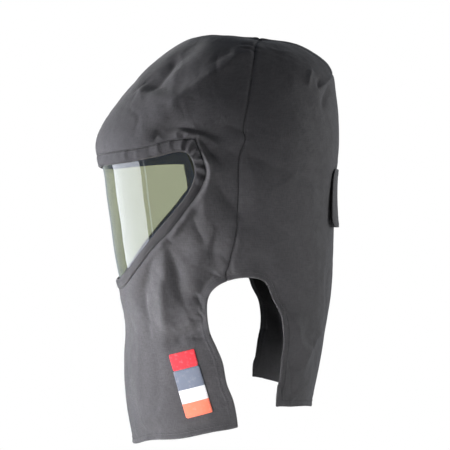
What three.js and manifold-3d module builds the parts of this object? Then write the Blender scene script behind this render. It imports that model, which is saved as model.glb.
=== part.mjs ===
// Arc flash hood: a cloth hood with a curved window, worn over the head and the upper chest.
// Millimetres. +Z is up, the wearer faces -Y, and +X is the wearer's left side.
// The origin lies on the inner face of the crown, where the head carries the hood.
import * as THREE from "three";
import Module from "manifold-3d";

// Driving dimensions
const HOOD_HEIGHT = 586; // crown to the lowest point of the front hem
const HOOD_DEPTH = 350; // brow to the back of the head
const HOOD_WIDTH = 268; // across the temples
const CLOTH_WALL = 2.4;
const SEAM_GAP = 0.3; // clearance between neighbouring pieces
const FOLD_HEIGHT = 6; // tallest fold
const FOLD_WIDTH = 20; // half width of the widest fold
const FOLD_FADE = 16; // folds die away over this distance from the band
const WINDOW_TOP = 191; // crown down to the opening, at the brow
const WINDOW_HEIGHT = 160; // opening's edge at the brow down to the edge at the chin
const WINDOW_REACH = 128; // how far the opening runs back round each side
const BAND_WIDTH = 18; // widest part of the band sewn round the opening
const BAND_WALL = 4; // folded layers
const BAND_RISE = 0.6; // how far the band stands proud of the cloth
const GATHER_HEIGHT = 1.1; // ripple of the band's gathers
const GATHER_PITCH = 13;
const VISOR_WALL = 2;
const VISOR_TUCK = 8; // how far the visor reaches under the band
const ARCH_TOP = 343; // crown down to the top of the shoulder arch
const ARCH_CENTRE = 20; // behind the middle of the hood
const ARCH_WIDTH = 102;
const ARCH_HEIGHT = 195; // arch's top down to the front hem
const BIB_TOP = 363; // crown down to the back bib
const STRIP_WIDTH = 92; // strip along the back of the crown
const STRIP_DROP = 57; // crown down to the strip's rear seam
const FLAP_TOP = 193; // crown down to the flap's root
const FLAP_HEIGHT = 83;
const FLAP_WIDTH = 132;
const FLAP_WALL = 2.2;
const FLAP_LIFT = 4; // how far the flap's free edge stands off the back
const FLAP_CORNER = 12;
const LABEL_RISE = 94; // lowest point of the front hem up to the middle of the label
const LABEL_AHEAD = 50; // in front of the middle of the hood
const LABEL_WIDTH = 35;
const LABEL_HEIGHT = 62;
const LABEL_WALL = 1;
const LABEL_TILT = 16; // degrees
const MARK_WIDTH = 34;
const MARK_HEIGHT = 22;

// Mesh density
const COLUMNS = 52;
const RINGS = 32;
const LOWEST = 1.03; // share of the height where the uncut skins end
const WINDOW_PATCH = { halfTurn: 90, top: 0.255, bottom: 0.66 }; // the band and the visor are cut from it

// Sections of the body. down, frontDrop, sideDrop and backDrop are shares of the height, front, back and
// middle of the depth, and side of half the width. The last two say how square the plan is, 2 is an ellipse.
const SECTION_COLUMNS = [
  "down", "front", "frontDrop", "side", "sideDrop", "back", "backDrop", "middle", "frontSquare", "backSquare",
];
const SECTION_ROWS = [
  [0.0, -0.023, 0.0, 0.0, 0.0, 0.023, 0.0, 0.023, 2.0, 2.0],
  [0.017, 0.034, -0.003, 0.194, 0.004, 0.097, 0.007, 0.026, 2.0, 2.0],
  [0.041, 0.103, 0.004, 0.403, 0.014, 0.189, 0.013, 0.029, 2.0, 2.05],
  [0.072, 0.177, 0.022, 0.597, 0.036, 0.283, 0.018, 0.029, 2.0, 2.1],
  [0.106, 0.257, 0.055, 0.746, 0.068, 0.366, 0.036, 0.026, 2.0, 2.15],
  [0.147, 0.337, 0.097, 0.858, 0.113, 0.44, 0.072, 0.02, 2.0, 2.2],
  [0.191, 0.417, 0.152, 0.933, 0.164, 0.463, 0.123, 0.011, 2.0, 2.25],
  [0.239, 0.486, 0.212, 0.978, 0.222, 0.477, 0.191, 0.003, 2.05, 2.3],
  [0.283, 0.52, 0.27, 1.0, 0.276, 0.481, 0.263, -0.006, 2.1, 2.3],
  [0.328, 0.503, 0.326, 1.007, 0.328, 0.474, 0.324, -0.011, 2.1, 2.3],
  [0.384, 0.489, 0.384, 1.004, 0.384, 0.463, 0.384, -0.011, 2.1, 2.3],
  [0.461, 0.471, 0.461, 0.993, 0.461, 0.46, 0.461, -0.009, 2.1, 2.3],
  [0.529, 0.456, 0.529, 0.978, 0.529, 0.457, 0.529, -0.006, 2.1, 2.3],
  [0.597, 0.434, 0.597, 0.978, 0.597, 0.45, 0.597, 0.0, 2.15, 2.3],
  [0.657, 0.411, 0.657, 0.993, 0.657, 0.44, 0.657, 0.006, 2.2, 2.3],
  [0.7, 0.4, 0.7, 1.015, 0.7, 0.429, 0.7, 0.009, 2.25, 2.3],
  [0.768, 0.404, 0.768, 1.06, 0.768, 0.406, 0.768, 0.011, 2.3, 2.3],
  [0.836, 0.403, 0.836, 1.104, 0.836, 0.383, 0.836, 0.014, 2.3, 2.3],
  [0.904, 0.389, 0.904, 1.149, 0.904, 0.357, 0.904, 0.017, 2.3, 2.3],
  [0.956, 0.374, 0.956, 1.172, 0.956, 0.34, 0.956, 0.02, 2.3, 2.3],
  [1.06, 0.346, 1.06, 1.187, 1.06, 0.31, 1.06, 0.023, 2.3, 2.3],
];

// Folds, each along a bent line on the skin. around is degrees from the front, positive on the +X side, down a
// share of the hood's height, height and width shares of the named fold sizes. A valley has a negative height.
const FOLD_COLUMNS = ["around", "down", "bendAround", "bendDown", "endAround", "endDown", "height", "width"];
const FOLD_ROWS = [
  [56, 0.22, 78, 0.15, 104, 0.087, 0.6, 0.8],
  [48, 0.089, 44, 0.142, 39, 0.179, -0.5, 0.9],
  [59, 0.282, 72, 0.253, 93, 0.258, -0.5, 0.7],
  [76, 0.27, 86, 0.33, 86, 0.413, 0.65, 0.6],
  [83, 0.28, 93, 0.336, 95, 0.462, -0.65, 0.7],
  [98, 0.3, 115, 0.334, 140, 0.37, -0.5, 0.8],
  [162, 0.174, 150, 0.179, 138, 0.184, 0.35, 0.7],
  [53, 0.58, 46, 0.6, 37, 0.633, -0.6, 0.6],
  [68, 0.53, 64, 0.572, 67, 0.618, -0.6, 0.6],
  [57, 0.58, 53, 0.611, 53, 0.689, 0.5, 0.6],
  [85, 0.572, 78, 0.6, 74, 0.626, -0.55, 0.6],
  [77, 0.701, 66, 0.712, 58, 0.727, -0.6, 0.6],
  [103, 0.549, 108, 0.597, 112, 0.637, -0.55, 0.6],
  [124, 0.696, 126, 0.729, 132, 0.761, 0.5, 0.6],
  [146, 0.725, 136, 0.763, 130, 0.804, 0.5, 0.7],
  [-60, 0.215, -80, 0.16, -100, 0.1, 0.55, 0.8],
  [-40, 0.1, -36, 0.15, -30, 0.19, -0.45, 0.9],
  [-62, 0.272, -76, 0.25, -95, 0.262, -0.5, 0.7],
  [-78, 0.272, -86, 0.34, -85, 0.41, 0.6, 0.6],
  [-88, 0.29, -94, 0.35, -92, 0.45, -0.6, 0.7],
  [-98, 0.32, -116, 0.34, -138, 0.39, -0.5, 0.8],
  [-50, 0.57, -47, 0.6, -40, 0.64, -0.55, 0.6],
  [-66, 0.54, -66, 0.58, -70, 0.63, -0.55, 0.6],
  [-82, 0.58, -78, 0.6, -75, 0.625, -0.5, 0.6],
  [-74, 0.71, -64, 0.72, -54, 0.715, -0.55, 0.6],
  [-102, 0.55, -108, 0.6, -111, 0.64, -0.55, 0.6],
  [-126, 0.7, -130, 0.73, -134, 0.77, 0.5, 0.6],
  [-10, 0.66, -14, 0.72, -20, 0.8, 0.4, 0.9],
  [24, 0.78, 30, 0.84, 33, 0.92, 0.35, 0.9],
];

// The window's edge in side view, brow to chin. reach is a share of the window's reach, drop of its height, and
// band is the share of the band's full width sewn on there.
const WINDOW_ROWS = [
  { reach: -0.8, drop: 0.003, band: 0.97 },
  { reach: 0.0, drop: 0.003, band: 0.97 },
  { reach: 0.297, drop: -0.009, band: 1.0 },
  { reach: 0.602, drop: -0.047, band: 0.97 },
  { reach: 0.845, drop: -0.088, band: 1.0 },
  { reach: 0.945, drop: -0.062, band: 0.97 },
  { reach: 0.997, drop: 0.05, band: 0.86 },
  { reach: 0.969, drop: 0.175, band: 0.82 },
  { reach: 0.859, drop: 0.319, band: 0.68 },
  { reach: 0.656, drop: 0.512, band: 0.58 },
  { reach: 0.461, drop: 0.706, band: 0.62 },
  { reach: 0.297, drop: 0.887, band: 0.68 },
  { reach: 0.18, drop: 0.99, band: 0.84 },
  { reach: 0.0, drop: 1.0, band: 0.88 },
  { reach: -0.8, drop: 1.0, band: 0.88 },
];

// The seam over the crown and down the side, in side view. back is a share of the depth, drop a share of the
// way down to the arch's top. Past that the line runs down through the arch.
const SEAM_ROWS = [
  { back: 0.14, drop: -0.17 },
  { back: 0.14, drop: 0.02 },
  { back: 0.108, drop: 0.089 },
  { back: 0.08, drop: 0.248 },
  { back: 0.053, drop: 0.407 },
  { back: 0.058, drop: 0.465 },
  { back: 0.034, drop: 0.543 },
  { back: 0.034, drop: 0.683 },
  { back: 0.024, drop: 0.822 },
  { back: -0.003, drop: 0.95 },
  { back: -0.011, drop: 1.01 },
  { back: 0.06, drop: 1.28 },
  { back: 0.08, drop: 1.5 },
];

// The shoulder arch in side view, front foot to rear foot. along is a share of the arch's width from its
// centre, drop of its height from its top.
const ARCH_ROWS = [
  { along: -0.098, drop: 1.2 },
  { along: -0.118, drop: 0.99 },
  { along: -0.167, drop: 0.831 },
  { along: -0.255, drop: 0.708 },
  { along: -0.304, drop: 0.569 },
  { along: -0.382, drop: 0.467 },
  { along: -0.471, drop: 0.359 },
  { along: -0.5, drop: 0.241 },
  { along: -0.49, drop: 0.149 },
  { along: -0.431, drop: 0.087 },
  { along: -0.314, drop: 0.041 },
  { along: -0.147, drop: 0.01 },
  { along: 0.049, drop: 0.0 },
  { along: 0.216, drop: 0.015 },
  { along: 0.314, drop: 0.056 },
  { along: 0.373, drop: 0.138 },
  { along: 0.461, drop: 0.231 },
  { along: 0.5, drop: 0.344 },
  { along: 0.5, drop: 0.446 },
  { along: 0.461, drop: 0.574 },
  { along: 0.431, drop: 0.703 },
  { along: 0.392, drop: 0.805 },
  { along: 0.392, drop: 1.2 },
];

// The hems' line as seen in plan, front to back on either side. turn is degrees from straight ahead, drop a
// share of the height.
const HEM_ROWS = [
  { turn: 0, drop: 0.997 },
  { turn: 26, drop: 0.981 },
  { turn: 47, drop: 0.957 },
  { turn: 64, drop: 0.945 },
  { turn: 75, drop: 0.933 },
  { turn: 83, drop: 0.925 },
  { turn: 93, drop: 0.916 },
  { turn: 112, drop: 0.877 },
  { turn: 122, drop: 0.88 },
  { turn: 131, drop: 0.884 },
  { turn: 142, drop: 0.891 },
  { turn: 160, drop: 0.904 },
  { turn: 180, drop: 0.913 },
];

const wasm = await Module();
wasm.setup();

// Natural cubic through the points of a table's column
function cubic(xs, ys) {
  const last = xs.length - 1;
  const bend = new Array(last + 1).fill(0);
  const carry = new Array(last + 1).fill(0);
  for (let i = 1; i < last; i += 1) {
    const before = xs[i] - xs[i - 1];
    const after = xs[i + 1] - xs[i];
    const pivot = 2 * (before + after) - before * carry[i - 1];
    const turn = (ys[i + 1] - ys[i]) / after - (ys[i] - ys[i - 1]) / before;
    carry[i] = after / pivot;
    bend[i] = (6 * turn - before * bend[i - 1]) / pivot;
  }
  for (let i = last - 1; i > 0; i -= 1) bend[i] -= carry[i] * bend[i + 1];
  return (x) => {
    let i = 0;
    while (i < last - 1 && x > xs[i + 1]) i += 1;
    const step = xs[i + 1] - xs[i];
    const a = (xs[i + 1] - x) / step;
    const b = (x - xs[i]) / step;
    const swell = ((a ** 3 - a) * bend[i] + (b ** 3 - b) * bend[i + 1]) * step * step / 6;
    return a * ys[i] + b * ys[i + 1] + swell;
  };
}

const sectionDowns = SECTION_ROWS.map((row) => row[0]);
const section = Object.fromEntries(
  SECTION_COLUMNS.map((name, i) => [name, cubic(sectionDowns, SECTION_ROWS.map((row) => row[i]))]),
);
const folds = FOLD_ROWS.map((row) => Object.fromEntries(FOLD_COLUMNS.map((name, i) => [name, row[i]])));

// A point of the body's smooth outer face
function bodyPoint(around, down) {
  const angle = THREE.MathUtils.degToRad(around);
  const sine = Math.sin(angle);
  const cosine = Math.cos(angle);
  const ahead = cosine >= 0;
  const power = 2 / (ahead ? section.frontSquare(down) : section.backSquare(down));
  const middle = section.middle(down);
  const reach = ahead ? -section.front(down) : section.back(down);
  const endDrop = ahead ? section.frontDrop(down) : section.backDrop(down);
  const endShare = cosine * cosine;
  const drop = section.sideDrop(down) * (1 - endShare) + endDrop * endShare;
  return new THREE.Vector3(
    section.side(down) * (HOOD_WIDTH / 2) * Math.sign(sine) * Math.abs(sine) ** power,
    (middle + (reach - middle) * Math.abs(cosine) ** power) * HOOD_DEPTH,
    -drop * HOOD_HEIGHT,
  );
}

function bodyNormal(around, down) {
  if (down < 0.004) return new THREE.Vector3(0, 0, 1);
  const turn = 0.5; // degrees
  const step = 0.002; // share of the height
  const across = bodyPoint(around + turn, down).sub(bodyPoint(around - turn, down));
  const along = bodyPoint(around, down + step).sub(bodyPoint(around, down - step));
  return along.cross(across).normalize();
}

// How far a fold lifts the skin, in millimetres
function foldLift(around, down) {
  const degree = THREE.MathUtils.degToRad(1) * section.side(down) * HOOD_WIDTH / 2;
  let lift = 0;
  for (const fold of folds) {
    const ends = [
      [fold.around, fold.down, fold.bendAround, fold.bendDown],
      [fold.bendAround, fold.bendDown, fold.endAround, fold.endDown],
    ];
    const nearest = Math.min(...ends.map(([fromAround, fromDown, toAround, toDown]) => {
      const run = new THREE.Vector2((toAround - fromAround) * degree, (toDown - fromDown) * HOOD_HEIGHT);
      const here = new THREE.Vector2((around - fromAround) * degree, (down - fromDown) * HOOD_HEIGHT);
      const share = THREE.MathUtils.clamp(here.dot(run) / run.lengthSq(), 0, 1);
      return here.distanceTo(run.multiplyScalar(share));
    }));
    lift += fold.height * FOLD_HEIGHT * Math.exp(-((nearest / (fold.width * FOLD_WIDTH)) ** 2));
  }
  return lift;
}

// Side view curves: points of (y, z), smooth through the rows of a table
const smooth = (points, steps) => new THREE.SplineCurve(points).getSpacedPoints(steps);
const farBelow = (point) => new THREE.Vector2(point.x, -2 * HOOD_HEIGHT);
const seamPoints = SEAM_ROWS.map((row) => new THREE.Vector2(row.back * HOOD_DEPTH, -row.drop * ARCH_TOP));
const seamLine = [...smooth(seamPoints, 24), farBelow(seamPoints.at(-1))];
const archPoints = ARCH_ROWS.map((row) => new THREE.Vector2(
  ARCH_CENTRE + row.along * ARCH_WIDTH,
  -(ARCH_TOP + row.drop * ARCH_HEIGHT),
));
const archLine = [farBelow(archPoints[0]), ...smooth(archPoints, 34), farBelow(archPoints.at(-1))];
const windowFront = -section.front(WINDOW_TOP / HOOD_HEIGHT) * HOOD_DEPTH;
const windowPoints = WINDOW_ROWS.map((row) => new THREE.Vector2(
  windowFront + row.reach * WINDOW_REACH,
  -(WINDOW_TOP + row.drop * WINDOW_HEIGHT),
));

// The window's edge moved outward by a distance for each row
function windowLine(grow) {
  const moved = windowPoints.map((point, i) => {
    const before = windowPoints[Math.max(i - 1, 0)];
    const after = windowPoints[Math.min(i + 1, windowPoints.length - 1)];
    const out = new THREE.Vector2(-(after.y - before.y), after.x - before.x).normalize();
    return point.clone().addScaledVector(out, grow(WINDOW_ROWS[i]));
  });
  return smooth(moved, 39);
}
const bandSeam = windowLine((row) => row.band * BAND_WIDTH);

// How much of a fold is left beside the band, where the cloth is sewn flat
function foldShare(point) {
  const here = new THREE.Vector2(point.y, point.z);
  if (insideLoop(here, bandSeam)) return 0;
  const nearest = Math.min(...bandSeam.map((spot) => spot.distanceTo(here)));
  return THREE.MathUtils.smoothstep(nearest, 0, FOLD_FADE);
}

function insideLoop(point, loop) {
  let inside = false;
  loop.forEach((a, i) => {
    const b = loop[(i + 1) % loop.length];
    const crosses = (a.y > point.y) !== (b.y > point.y);
    if (crosses && point.x < a.x + (b.x - a.x) * (point.y - a.y) / (b.y - a.y)) inside = !inside;
  });
  return inside;
}

// A point at a distance outside the body's smooth face
function plainPoint(around, down, offset) {
  return bodyPoint(around, down).addScaledVector(bodyNormal(around, down), offset);
}

// A point at a distance outside the folded cloth
function clothPoint(around, down, offset) {
  const point = bodyPoint(around, down);
  const lift = foldLift(around, down) * foldShare(point);
  return point.addScaledVector(bodyNormal(around, down), offset + lift);
}

function solid(points, faces) {
  const vertProperties = new Float32Array(points.flatMap((point) => [point.x, point.y, point.z]));
  return new wasm.Manifold(new wasm.Mesh({ numProp: 3, vertProperties, triVerts: new Uint32Array(faces.flat()) }));
}

// The whole body filled in, its face at a distance from the cloth's outer face: rings of points below the crown
function filledBody(offset) {
  const points = [clothPoint(0, 0, offset)];
  const faces = [];
  const spot = (ring, column) => 1 + (ring - 1) * COLUMNS + (column % COLUMNS);
  for (let ring = 1; ring <= RINGS; ring += 1) {
    for (let column = 0; column < COLUMNS; column += 1) {
      const around = column * 360 / COLUMNS;
      points.push(clothPoint(around > 180 ? around - 360 : around, ring * LOWEST / RINGS, offset));
    }
  }
  const floor = points.length;
  points.push(new THREE.Vector3(0, 0, -LOWEST * HOOD_HEIGHT));
  for (let column = 0; column < COLUMNS; column += 1) {
    faces.push([0, spot(1, column), spot(1, column + 1)]);
    faces.push([floor, spot(RINGS, column + 1), spot(RINGS, column)]);
    for (let ring = 1; ring < RINGS; ring += 1) {
      faces.push([spot(ring, column), spot(ring + 1, column), spot(ring + 1, column + 1)]);
      faces.push([spot(ring, column), spot(ring + 1, column + 1), spot(ring, column + 1)]);
    }
  }
  return solid(points, faces);
}

// A closed slab between an outer and an inner face, both functions of (around, down) over a patch
function slab(outer, inner, patch) {
  const points = [];
  const faces = [];
  const { columns, rows } = patch;
  for (const face of [outer, inner]) {
    for (let row = 0; row <= rows; row += 1) {
      for (let column = 0; column <= columns; column += 1) {
        const around = THREE.MathUtils.lerp(-patch.halfTurn, patch.halfTurn, column / columns);
        points.push(face(around, THREE.MathUtils.lerp(patch.top, patch.bottom, row / rows)));
      }
    }
  }
  const spot = (row, column) => row * (columns + 1) + column;
  const behind = (rows + 1) * (columns + 1);
  for (let row = 0; row < rows; row += 1) {
    for (let column = 0; column < columns; column += 1) {
      const [a, b] = [spot(row, column), spot(row + 1, column)];
      for (const [p, q, r] of [[a, b, b + 1], [a, b + 1, a + 1]]) {
        faces.push([p, q, r], [p + behind, r + behind, q + behind]);
      }
    }
  }
  const rim = [];
  for (let row = 0; row < rows; row += 1) rim.push(spot(row, 0));
  for (let column = 0; column < columns; column += 1) rim.push(spot(rows, column));
  for (let row = rows; row > 0; row -= 1) rim.push(spot(row, columns));
  for (let column = columns; column > 0; column -= 1) rim.push(spot(0, column));
  rim.forEach((p, i) => {
    const q = rim[(i + 1) % rim.length];
    faces.push([q, p, p + behind], [q, p + behind, q + behind]);
  });
  return solid(points, faces);
}

// A straight cutter: an outline drawn in two axes, run along the third
function cutter(outline, from, to, axes) {
  const geometry = new THREE.ExtrudeGeometry(new THREE.Shape(outline), { depth: to - from, bevelEnabled: false });
  geometry.translate(0, 0, from);
  geometry.applyMatrix4(axes);
  const spots = new Map();
  const points = [];
  const { position } = geometry.attributes;
  const corners = Array.from({ length: position.count }, (_, i) => {
    const point = new THREE.Vector3().fromBufferAttribute(position, i);
    const key = point.toArray().map((value) => value.toFixed(4)).join(" ");
    if (!spots.has(key)) spots.set(key, points.push(point) - 1);
    return spots.get(key);
  });
  const faces = Array.from({ length: corners.length / 3 }, (_, i) => corners.slice(3 * i, 3 * i + 3));
  return solid(points, faces);
}
const X_AXIS = new THREE.Vector3(1, 0, 0);
const Y_AXIS = new THREE.Vector3(0, 1, 0);
const Z_AXIS = new THREE.Vector3(0, 0, 1);
const SIDE_VIEW = new THREE.Matrix4().makeBasis(Y_AXIS, Z_AXIS, X_AXIS);
const BACK_VIEW = new THREE.Matrix4().makeBasis(Z_AXIS, X_AXIS, Y_AXIS);
const BEYOND = HOOD_WIDTH; // clears the body on every side
const throughSides = (outline) => cutter(outline, -BEYOND, BEYOND, SIDE_VIEW);

// A rectangle in side view, turned about its middle
function tiltedPatch(middle, width, height) {
  const tilt = THREE.MathUtils.degToRad(LABEL_TILT);
  const corners = [[-1, -1], [1, -1], [1, 1], [-1, 1]].map(([along, up]) => new THREE.Vector2(
    middle.x + along * width / 2 * Math.cos(tilt) - up * height / 2 * Math.sin(tilt),
    middle.y + along * width / 2 * Math.sin(tilt) + up * height / 2 * Math.cos(tilt),
  ));
  return cutter(corners, 0, BEYOND, SIDE_VIEW);
}

// Everything below the hems: spokes level with the hem, from near the middle to beyond the cloth
function underHem() {
  const sectors = 48;
  const below = -HOOD_HEIGHT - BEYOND;
  const reaches = [HOOD_WIDTH / 4, HOOD_WIDTH / 2, HOOD_DEPTH]; // the second lies close to the cloth
  const rings = reaches.length + 1;
  const hemDrop = cubic(HEM_ROWS.map((row) => row.turn), HEM_ROWS.map((row) => row.drop));
  const points = [new THREE.Vector3(0, 0, -HOOD_HEIGHT), new THREE.Vector3(0, 0, below)];
  const faces = [];
  for (let sector = 0; sector < sectors; sector += 1) {
    const turn = sector * 360 / sectors;
    const angle = THREE.MathUtils.degToRad(turn);
    const ahead = new THREE.Vector3(Math.sin(angle), -Math.cos(angle), 0);
    const level = -hemDrop(turn > 180 ? 360 - turn : turn) * HOOD_HEIGHT;
    for (const reach of reaches) points.push(ahead.clone().multiplyScalar(reach).setZ(level));
    points.push(ahead.clone().multiplyScalar(HOOD_DEPTH).setZ(below));
    const here = 2 + sector * rings;
    const next = 2 + ((sector + 1) % sectors) * rings;
    faces.push([0, here, next], [1, next + rings - 1, here + rings - 1]);
    for (let ring = 0; ring < rings - 1; ring += 1) {
      faces.push([here + ring, here + ring + 1, next + ring + 1], [here + ring, next + ring + 1, next + ring]);
    }
  }
  return solid(points, faces);
}

// The sewn cloth, open below the hems and at the shoulder arches
function sewnCloth() {
  return filledBody(0).subtract(filledBody(-CLOTH_WALL)).subtract(underHem()).subtract(throughSides(archLine));
}

// Everything ahead of the side seam, or behind it
function besideSeam(direction) {
  const far = direction * HOOD_DEPTH;
  const line = seamLine.map((point) => new THREE.Vector2(point.x + direction * SEAM_GAP / 2, point.y));
  return throughSides([...line, new THREE.Vector2(far, line.at(-1).y), new THREE.Vector2(far, line[0].y)]);
}

// The strip of crown cloth behind the seam, narrower by a margin on each side
function stripBlock(margin) {
  const half = STRIP_WIDTH / 2 - margin;
  const bottom = -STRIP_DROP + margin;
  const corners = [
    new THREE.Vector2(bottom, -half),
    new THREE.Vector2(BEYOND, -half),
    new THREE.Vector2(BEYOND, half),
    new THREE.Vector2(bottom, half),
  ];
  return cutter(corners, -HOOD_DEPTH, HOOD_DEPTH, BACK_VIEW);
}

// Everything below a level, as far down as the cutters reach
function belowLevel(level) {
  const corners = [[-1, -1], [1, -1], [1, 0], [-1, 0]].map(([along, up]) => new THREE.Vector2(
    along * HOOD_DEPTH,
    up === 0 ? level : -2 * HOOD_HEIGHT,
  ));
  return throughSides(corners);
}

// The band's gathers lie at the window's rear corners
function gatherLift(around, down) {
  const corner = { around: 76, down: 0.33, spreadAround: 12, spreadDown: 0.08 };
  const off = Math.hypot(
    (Math.abs(around) - corner.around) / corner.spreadAround,
    (down - corner.down) / corner.spreadDown,
  );
  const ripple = 1 + Math.cos(2 * Math.PI * down * HOOD_HEIGHT / GATHER_PITCH);
  return GATHER_HEIGHT * ripple * Math.exp(-(off ** 2));
}

function windowBand() {
  const ring = slab(
    (around, down) => plainPoint(around, down, BAND_RISE + gatherLift(around, down)),
    (around, down) => plainPoint(around, down, BAND_RISE - BAND_WALL),
    { ...WINDOW_PATCH, columns: 36, rows: 18 },
  );
  const outline = windowLine((row) => row.band * BAND_WIDTH - SEAM_GAP);
  return ring.intersect(throughSides(outline)).subtract(throughSides(windowLine(() => 0)));
}

function visor() {
  const outside = BAND_RISE - BAND_WALL - SEAM_GAP;
  const sheet = slab(
    (around, down) => plainPoint(around, down, outside),
    (around, down) => plainPoint(around, down, outside - VISOR_WALL),
    { ...WINDOW_PATCH, columns: 18, rows: 9 },
  );
  return sheet.intersect(throughSides(windowLine(() => VISOR_TUCK)));
}

// The flap hangs from its root on the back, and its free edge stands off
function backFlap() {
  const half = FLAP_WIDTH / 2;
  const root = -FLAP_TOP;
  const edge = root - FLAP_HEIGHT;
  const outline = new THREE.Shape();
  outline.moveTo(root, -half);
  outline.lineTo(root, half);
  outline.lineTo(edge + FLAP_CORNER, half);
  outline.quadraticCurveTo(edge, half, edge, half - FLAP_CORNER);
  outline.lineTo(edge, FLAP_CORNER - half);
  outline.quadraticCurveTo(edge, -half, edge + FLAP_CORNER, -half);
  const lift = (down) => {
    const share = THREE.MathUtils.clamp((down * HOOD_HEIGHT - FLAP_TOP) / FLAP_HEIGHT, 0, 1);
    return SEAM_GAP + FLAP_LIFT * share;
  };
  const face = (wall) => (around, down) => clothPoint(around + 180, down, lift(down) + wall);
  const sheet = slab(face(FLAP_WALL), face(0), {
    halfTurn: 90,
    top: (FLAP_TOP - BAND_WIDTH) / HOOD_HEIGHT,
    bottom: (FLAP_TOP + FLAP_HEIGHT + BAND_WIDTH) / HOOD_HEIGHT,
    columns: 22,
    rows: 6,
  });
  return sheet.intersect(cutter(outline.getPoints(6), 0, HOOD_DEPTH, BACK_VIEW));
}

function labelPiece(middle, width, height) {
  const sheet = filledBody(SEAM_GAP + LABEL_WALL).subtract(filledBody(SEAM_GAP));
  return sheet.intersect(tiltedPatch(middle, width, height));
}

// A named mesh of a finished solid, in its own colour
function piece(name, body, color, roughness, metalness = 0, opacity = 1) {
  const { vertProperties, triVerts } = body.getMesh();
  const geometry = new THREE.BufferGeometry();
  geometry.setAttribute("position", new THREE.BufferAttribute(vertProperties, 3));
  geometry.setIndex(new THREE.BufferAttribute(triVerts, 1));
  geometry.computeVertexNormals();
  const material = new THREE.MeshStandardMaterial({
    color, roughness, metalness, opacity, transparent: opacity < 1, flatShading: true,
  });
  const mesh = new THREE.Mesh(geometry, material);
  mesh.name = name;
  return mesh;
}

const cloth = sewnCloth();
const rear = cloth.intersect(besideSeam(1));
const labelMiddle = new THREE.Vector2(-LABEL_AHEAD, LABEL_RISE - HOOD_HEIGHT);
const markTurn = THREE.MathUtils.degToRad(LABEL_TILT);
const markStep = (LABEL_HEIGHT + MARK_HEIGHT) / 2 + SEAM_GAP;
const markMiddle = new THREE.Vector2(
  labelMiddle.x - markStep * Math.sin(markTurn),
  labelMiddle.y + markStep * Math.cos(markTurn),
);

const hood = new THREE.Group();
hood.position.z = CLOTH_WALL;
hood.add(
  piece("hood_front", cloth.intersect(besideSeam(-1)).subtract(throughSides(bandSeam)), 0x5d5d61, 0.9),
  piece("hood_back", rear.subtract(stripBlock(0)).subtract(belowLevel(SEAM_GAP - BIB_TOP)), 0x4a494c, 0.9),
  piece("back_bib", rear.intersect(belowLevel(-BIB_TOP)), 0x4a494c, 0.9),
  piece("crown_strip", rear.intersect(stripBlock(SEAM_GAP)), 0x454446, 0.9),
  piece("window_band", windowBand(), 0x58585c, 0.88),
  piece("visor", visor(), 0x8f9a78, 0.08, 0, 0.6),
  piece("back_flap", backFlap(), 0x504f52, 0.9),
  piece("label_patch", labelPiece(labelMiddle, LABEL_WIDTH, LABEL_HEIGHT), 0x878e9e, 0.6),
  piece("label_mark", labelPiece(markMiddle, MARK_WIDTH, MARK_HEIGHT), 0xe13741, 0.6),
);

export default hood;
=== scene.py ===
# Arc flash hood: cloth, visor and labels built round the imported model. Blender works in metres. The tables
# and the surface below are in millimetres, measured from the outer face of the crown.
import math

import bpy
import numpy as np
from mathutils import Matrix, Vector


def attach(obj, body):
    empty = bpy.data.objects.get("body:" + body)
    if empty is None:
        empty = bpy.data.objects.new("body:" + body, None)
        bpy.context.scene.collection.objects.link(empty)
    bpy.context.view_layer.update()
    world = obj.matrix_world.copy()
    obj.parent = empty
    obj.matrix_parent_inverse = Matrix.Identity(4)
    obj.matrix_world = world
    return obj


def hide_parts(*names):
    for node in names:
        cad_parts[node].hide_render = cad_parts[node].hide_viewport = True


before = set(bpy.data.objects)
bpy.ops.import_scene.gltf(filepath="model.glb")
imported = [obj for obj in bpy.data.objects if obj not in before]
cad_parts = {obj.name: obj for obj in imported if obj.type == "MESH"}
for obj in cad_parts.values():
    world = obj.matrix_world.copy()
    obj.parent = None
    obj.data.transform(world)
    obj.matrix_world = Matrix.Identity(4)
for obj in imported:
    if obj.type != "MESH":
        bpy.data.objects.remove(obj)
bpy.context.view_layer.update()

# The part's named sizes
HOOD_HEIGHT = 586.0
HOOD_DEPTH = 350.0
HOOD_WIDTH = 268.0
CLOTH_WALL = 2.4
SEAM_GAP = 0.3
FOLD_HEIGHT = 6.0
FOLD_WIDTH = 20.0
FOLD_FADE = 16.0
WINDOW_TOP = 191.0
WINDOW_HEIGHT = 160.0
WINDOW_REACH = 128.0
BAND_WIDTH = 18.0
BAND_WALL = 4.0
BAND_RISE = 0.6
VISOR_WALL = 2.0
VISOR_TUCK = 8.0
ARCH_TOP = 343.0
ARCH_CENTRE = 20.0
ARCH_WIDTH = 102.0
ARCH_HEIGHT = 195.0
STRIP_WIDTH = 92.0
STRIP_DROP = 57.0
FLAP_TOP = 193.0
FLAP_HEIGHT = 83.0
FLAP_WIDTH = 132.0
FLAP_WALL = 2.2
FLAP_LIFT = 4.0
FLAP_CORNER = 12.0
LABEL_RISE = 94.0
LABEL_AHEAD = 50.0
LABEL_WIDTH = 35.0
LABEL_HEIGHT = 62.0
LABEL_WALL = 1.0
LABEL_TILT = 16.0
MARK_WIDTH = 34.0
MARK_HEIGHT = 22.0

# Sizes of the triangles. The cloth's are halved beside hems, seams and narrow creases.
CELL = 3.2
BAND_CELL = 1.7
VISOR_CELL = 4.0
FLAP_CELL = 2.2
LABEL_CELL = 2.0

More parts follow.
